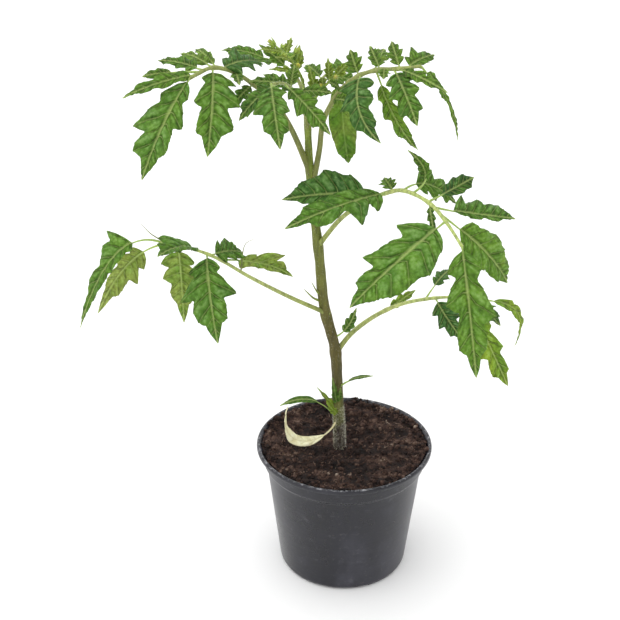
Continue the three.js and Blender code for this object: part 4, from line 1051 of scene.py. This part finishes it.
def ring(radius, height, sides):
    return np.c_[arc(radius, around(sides)), np.full(sides, height)]


def cutter(outline, low, high):   # an upright prism to cut with
    rings = np.stack([np.c_[outline, np.full(len(outline), z)] for z in (low, high)])
    return ringed(rings, rings.mean(1))


def cutAway(obj, shape):
    tool = meshObject("potCutter", shape, obj.data.materials[0])
    step = obj.modifiers.new("cut", "BOOLEAN")
    step.operation, step.solver, step.object = "DIFFERENCE", "EXACT", tool
    done = bpy.data.meshes.new_from_object(obj.evaluated_get(bpy.context.evaluated_depsgraph_get()))
    obj.modifiers.clear()
    obj.data = done
    bpy.data.objects.remove(tool)


def potMaterial():
    material, tree, shader = newMaterial("potPlastic")
    where = position(tree)
    cloud = noise(where, 16.0, 6.0, 0.6)
    streak = noise(position(tree, (1, 1, 0.45)), 70.0, 5.0)
    both = plus(times(cloud, 0.7), times(streak, 0.3))
    rubbed = noise(position(tree, (1, 1, 1.6)), 75.0, 7.0, 0.7)
    worn = mixed(spread(rubbed, 0, 0.38, 0.59, 0.78), ramp(both, pot["colour"]), pot["scuff"])
    # painted highlight: pale broken spots along the top of the lip
    onLip = spread(add(tree, "SeparateXYZ", {0: where}).outputs["Z"], 0, 1, 0.0992, 0.0999)
    lipHighlightSpots = spread(noise(where, 330.0, 4.0, 0.7), 0, 0.7, 0.5, 0.66)
    lipHighlighted = mixed(times(lipHighlightSpots, onLip), worn, pot["nick"])
    dusty = times(spread(noise(where, 420.0, 2.0), 0, 0.3, 0.64, 0.76), cloud)
    painted(shader, mixed(dusty, lipHighlighted, pot["dust"]), spread(both, 0.2, 0.42), 0.42)
    grain = noise(where, 1500.0, 2.0)
    scuff = noise(position(tree, (1, 1, 7)), 60.0, 5.0)
    bumped(shader, plus(times(grain, 0.25), scuff), 0.16, 0.0005)
    return material


def makePot():
    profile = roundedProfile(pot["profile"])
    rings = np.stack([ring(*spot, pot["sides"]) for spot in profile[1:-1]])
    shape = ringed(rings, [(0, 0, z) for z in profile[[0, -1], 1]])
    p = shape["points"]
    reach = np.hypot(p[:, 0], p[:, 1])
    wave = np.sin(3 * np.arctan2(p[:, 1], p[:, 0]) + 0.7)
    push = pot["wobble"] * wave * np.clip(p[:, 2] / 100, 0, 1) * (reach > 40)
    p[:, :2] *= (1 + push / np.maximum(reach, 1))[:, None]
    obj = place("pot", shape, potMaterial())
    half = math.radians(pot["archAngle"])
    arches, holes = [], []
    for middle in around(pot["arches"]) - math.pi / 2:
        outer = arc(pot["archOuter"], middle + np.linspace(-half, half, 24))
        inner = arc(pot["archInner"], middle + np.linspace(0.7 * half, -0.7 * half, 12))
        arches.append(cutter(np.vstack([outer, inner]), -1, pot["archDepth"]))
        hole = arc(pot["holeCircle"], middle) + arc(pot["holeRadius"], around(36))
        holes.append(cutter(hole, 0.5, 8))
    cutAway(obj, joined(arches))
    cutAway(obj, joined(holes))
    obj.data.set_sharp_from_angle(angle=math.radians(pot["sharpFrom"]))


makePot()
print("pot made")


# the soil: a lumpy mound with crumbs, fibres and pale flecks

soil = {
    "wall": [(44.2, 4.4), (46.0, 6.2), (55.6, 84.2), (58.1, 87.0), (58.9, 93.5), (59.4, 96.6)],
    "edgeHeight": 98.6,
    "middleHeight": 94.4,
    "radius": 60.6,
    "sides": 240,
    "rings": 84,
    "crumbs": 2000,
    "fibres": 190,
    "flecks": 12,
    "rimCrumbs": 900,
    "clods": [(20, 53, 2.4), (24, 50, 1.7), (52, 26, 2.6), (47, 33, 1.6), (-30, 48, 1.8)],   # beside the rim
    "stops": [(0.0, (0.009, 0.006, 0.006)), (0.3, (0.026, 0.014, 0.011)), (0.55, (0.08, 0.043, 0.032)),
              (0.8, (0.21, 0.14, 0.105)), (1.0, (0.45, 0.37, 0.3))],
}


def soilHeight(x, y):
    p = np.stack([x, y, 0.0 * x], -1)
    reach = np.hypot(x, y)
    mound = soil["middleHeight"] + (soil["edgeHeight"] - soil["middleHeight"]) * (reach / 60) ** 2
    lumps = 0.9 * ripples(p, 17, 1) + 0.75 * ripples(p, 6.5, 2) + 0.4 * ripples(p, 2.6, 3)
    return mound + lumps * np.clip((soil["radius"] + 2 - reach) / 6, 0.25, 1)


def soilTone(points):   # darker and paler patches of the mix
    return 0.2 + 0.17 * ripples(points, 30, 4) + 0.1 * ripples(points, 8, 12)


def soilMaterial():
    material, tree, shader = newMaterial("pottingMix")
    where = position(tree)
    coarse = noise(where, 180.0, 6.0, 0.7)
    fine = noise(where, 900.0, 5.0, 0.7)
    base = ramp(plus(mark(tree, "tone"), spread(coarse, -0.32, 0.42)), soil["stops"])
    painted(shader, grained(base, 0.6, fine, 0.3, (0.35, 0.33, 0.32), 0.65), spread(fine, 0.75, 0.98), 0.25)
    bumped(shader, plus(coarse, fine), 0.8, 0.0012)
    return material


def roundBall():   # twelve even corners, joined by 20 faces that are each cut in four
    golden = (1 + 5 ** 0.5) / 2
    corners = [np.roll((a, b * golden, 0), k) for k in range(3) for a in (-1, 1) for b in (-1, 1)]
    points, faces = list(unit(np.array(corners))), []
    edges = [(a, b) for a, b in combinations(range(12), 2) if points[a] @ points[b] > 0]
    halfway = {frozenset(edge): 12 + i for i, edge in enumerate(edges)}
    for a, b, c in combinations(range(12), 3):
        if all(frozenset(edge) in halfway for edge in ((a, b), (b, c), (c, a))):
            if np.linalg.det([points[a], points[b], points[c]]) < 0:   # it has to face outward
                b, c = c, b
            ab, bc, ca = (halfway[frozenset(edge)] for edge in ((a, b), (b, c), (c, a)))
            faces += [(a, ab, ca), (b, bc, ab), (c, ca, bc), (ab, bc, ca)]
    points += [unit(points[a] + points[b]) for a, b in edges]
    return np.array(points), np.array(faces)


def crumbParts(rng):   # small clods, each a lumpy ball
    ball, faces = roundBall()
    made = []

    def crumb(size, lumps, seed, middle, tone):
        lump = ball * (1 + lumps * ripples(ball, 1.3, seed)[:, None]) * size
        made.append(part(lump + middle, (), faces, tone=tone))

    for i in range(soil["crumbs"] + soil["flecks"]):
        pale = i >= soil["crumbs"]
        reach = 60 * math.sqrt(rng.random()) if rng.random() > 0.25 else rng.uniform(55, 61.6)
        x, y = arc(reach, rng.random() * fullTurn)[0]
        if math.hypot(x + 3, y) < 5.5:   # the stem stands here
            continue
        size = rng.uniform(0.25, 0.5) if pale else rng.uniform(0.35, 0.85) + 1.4 * rng.random() ** 7
        stretch = rng.uniform(0.6, 1.3, 3) * size
        tone = rng.uniform(0.5, 0.66) if pale else rng.uniform(0, 0.36) + soilTone(np.array([x, y, 0]))
        crumb(stretch, 0.22, i, (x, y, soilHeight(x, y) + 0.25 * size), tone)
    for i in range(soil["rimCrumbs"]):   # in clusters on the lip
        turn = rng.random() * fullTurn
        if ripples(np.append(arc(64, turn), 0), 34, 15) < 0.35:
            continue
        size = rng.uniform(0.3, 0.6) + 0.7 * rng.random() ** 4
        reach = rng.uniform(60.2, 63.4)
        height = 100 + 0.4 * size if reach > 61.6 else 99.4
        stretch = rng.uniform(0.7, 1.2, 3) * size
        crumb(stretch, 0.24, 7000 + i, (*arc(reach, turn)[0], height), rng.uniform(0.05, 0.35))
    for i, (x, y, size) in enumerate(soil["clods"]):
        middle = (x, y, soilHeight(x, y) + 0.5 * size)
        crumb((size, 0.8 * size, 0.9 * size), 0.3, 9000 + i, middle, 0.3)
    return made


def fibreParts(rng):   # reddish shreds and short roots
    made = []
    for _ in range(soil["fibres"]):
        middle = arc(57 * math.sqrt(rng.random()), rng.random() * fullTurn)[0]
        ahead = arc(1, rng.random() * fullTurn)[0]
        aside = np.array([-ahead[1], ahead[0]])
        long = rng.uniform(2.0, 7.5)
        line = []
        for share in np.linspace(-0.5, 0.5, 5):
            spot = middle + ahead * long * share + aside * rng.normal(0, 0.35)
            spot = spot * min(1.0, 57.8 / np.hypot(*spot))
            line.append((*spot, soilHeight(*spot) + 0.35 + abs(share) * rng.uniform(0, 1.4)))
        radii = np.full(14, rng.uniform(0.12, 0.34))
        made.append(tube(smoothPath(line, 14), radii, 6, tone=rng.uniform(0.4, 0.64)))
    return made


def makeSoil():
    rng = np.random.default_rng(5)
    reach = soil["radius"] * np.linspace(1, 0, soil["rings"] + 1)[:-1] ** 0.85
    side = [ring(r, z, soil["sides"]) for r, z in soil["wall"]]
    top = np.stack([ring(r, 0, soil["sides"]) for r in reach])
    top[..., 2] = soilHeight(top[..., 0], top[..., 1])
    mound = ringed(np.stack([*side, *top]), [(0, 0, soil["wall"][0][1]), (0, 0, soilHeight(0, 0))])
    mound["marks"]["tone"] = soilTone(mound["points"]) + 0.06
    place("soil", joined([mound, *crumbParts(rng), *fibreParts(rng)]), soilMaterial())


makeSoil()
print("soil made")


# the floor, the lights and the camera

studio = {
    "floorStops": [(0.0, (0.94, 0.94, 0.94)), (1.0, (0.96, 0.96, 0.96))],
    "floorSize": 60000.0,
    "skyColour": (1.0, 1.0, 1.0),
    "skyDim": 0.78,       # the room is brighter on the left
    "skyBright": 1.36,
    "skyFrom": (-0.75, 0.25, 0.6),
    "keyStrength": 0.68,
    "keyFrom": (-0.6, -0.35, 1.7),
    "keySoftness": 70.0,   # degrees that the light covers
    "lens": 64.34,
    "sensor": 36.0,
    "cameraAt": (0, -0.700, 0.5444),       # metres
    "cameraTurn": (64.31, 0, 2.07),        # degrees
}


def makeFloor():
    x, y = np.meshgrid(*[np.linspace(-0.5, 0.5, 24) * studio["floorSize"]] * 2)
    points = np.stack([x, y, 0 * x], -1).reshape(-1, 3)
    material, tree, shader = newMaterial("floorPaper")
    painted(shader, ramp(noise(position(tree), 30.0, 3.0), studio["floorStops"]), 0.9, 0.1)
    meshObject("paleFloor", part(points, grid(24, 24)), material)


def softSun(name, toward, strength, softness):
    lamp = bpy.data.lights.new(name, "SUN")
    lamp.energy, lamp.angle = strength, math.radians(softness)
    linked(name, lamp).rotation_euler = Vector(toward).to_track_quat("Z", "Y").to_euler()


def makeStudio():
    makeFloor()
    world = bpy.data.worlds.new("paleRoom")
    bpy.context.scene.world = world
    world.use_nodes = True
    tree = world.node_tree
    directions = {0: add(tree, "TexCoord").outputs["Generated"], 1: unit(np.array(studio["skyFrom"]))}
    facing = add(tree, "VectorMath", directions, operation="DOT_PRODUCT").outputs["Value"]
    strength = spread(facing, studio["skyDim"], studio["skyBright"], -1, 1)
    feed(tree.nodes["Background"], {"Color": (*studio["skyColour"], 1), "Strength": strength})
    softSun("keyLight", studio["keyFrom"], studio["keyStrength"], studio["keySoftness"])
    bpy.context.scene.view_settings.view_transform = "Standard"
    lens = bpy.data.cameras.new("frontCamera")
    lens.lens, lens.sensor_width = studio["lens"], studio["sensor"]
    camera = linked("frontCamera", lens)
    camera.location = studio["cameraAt"]
    camera.rotation_euler = [math.radians(turn) for turn in studio["cameraTurn"]]
    bpy.context.scene.camera = camera


makeStudio()
print("studio ready")
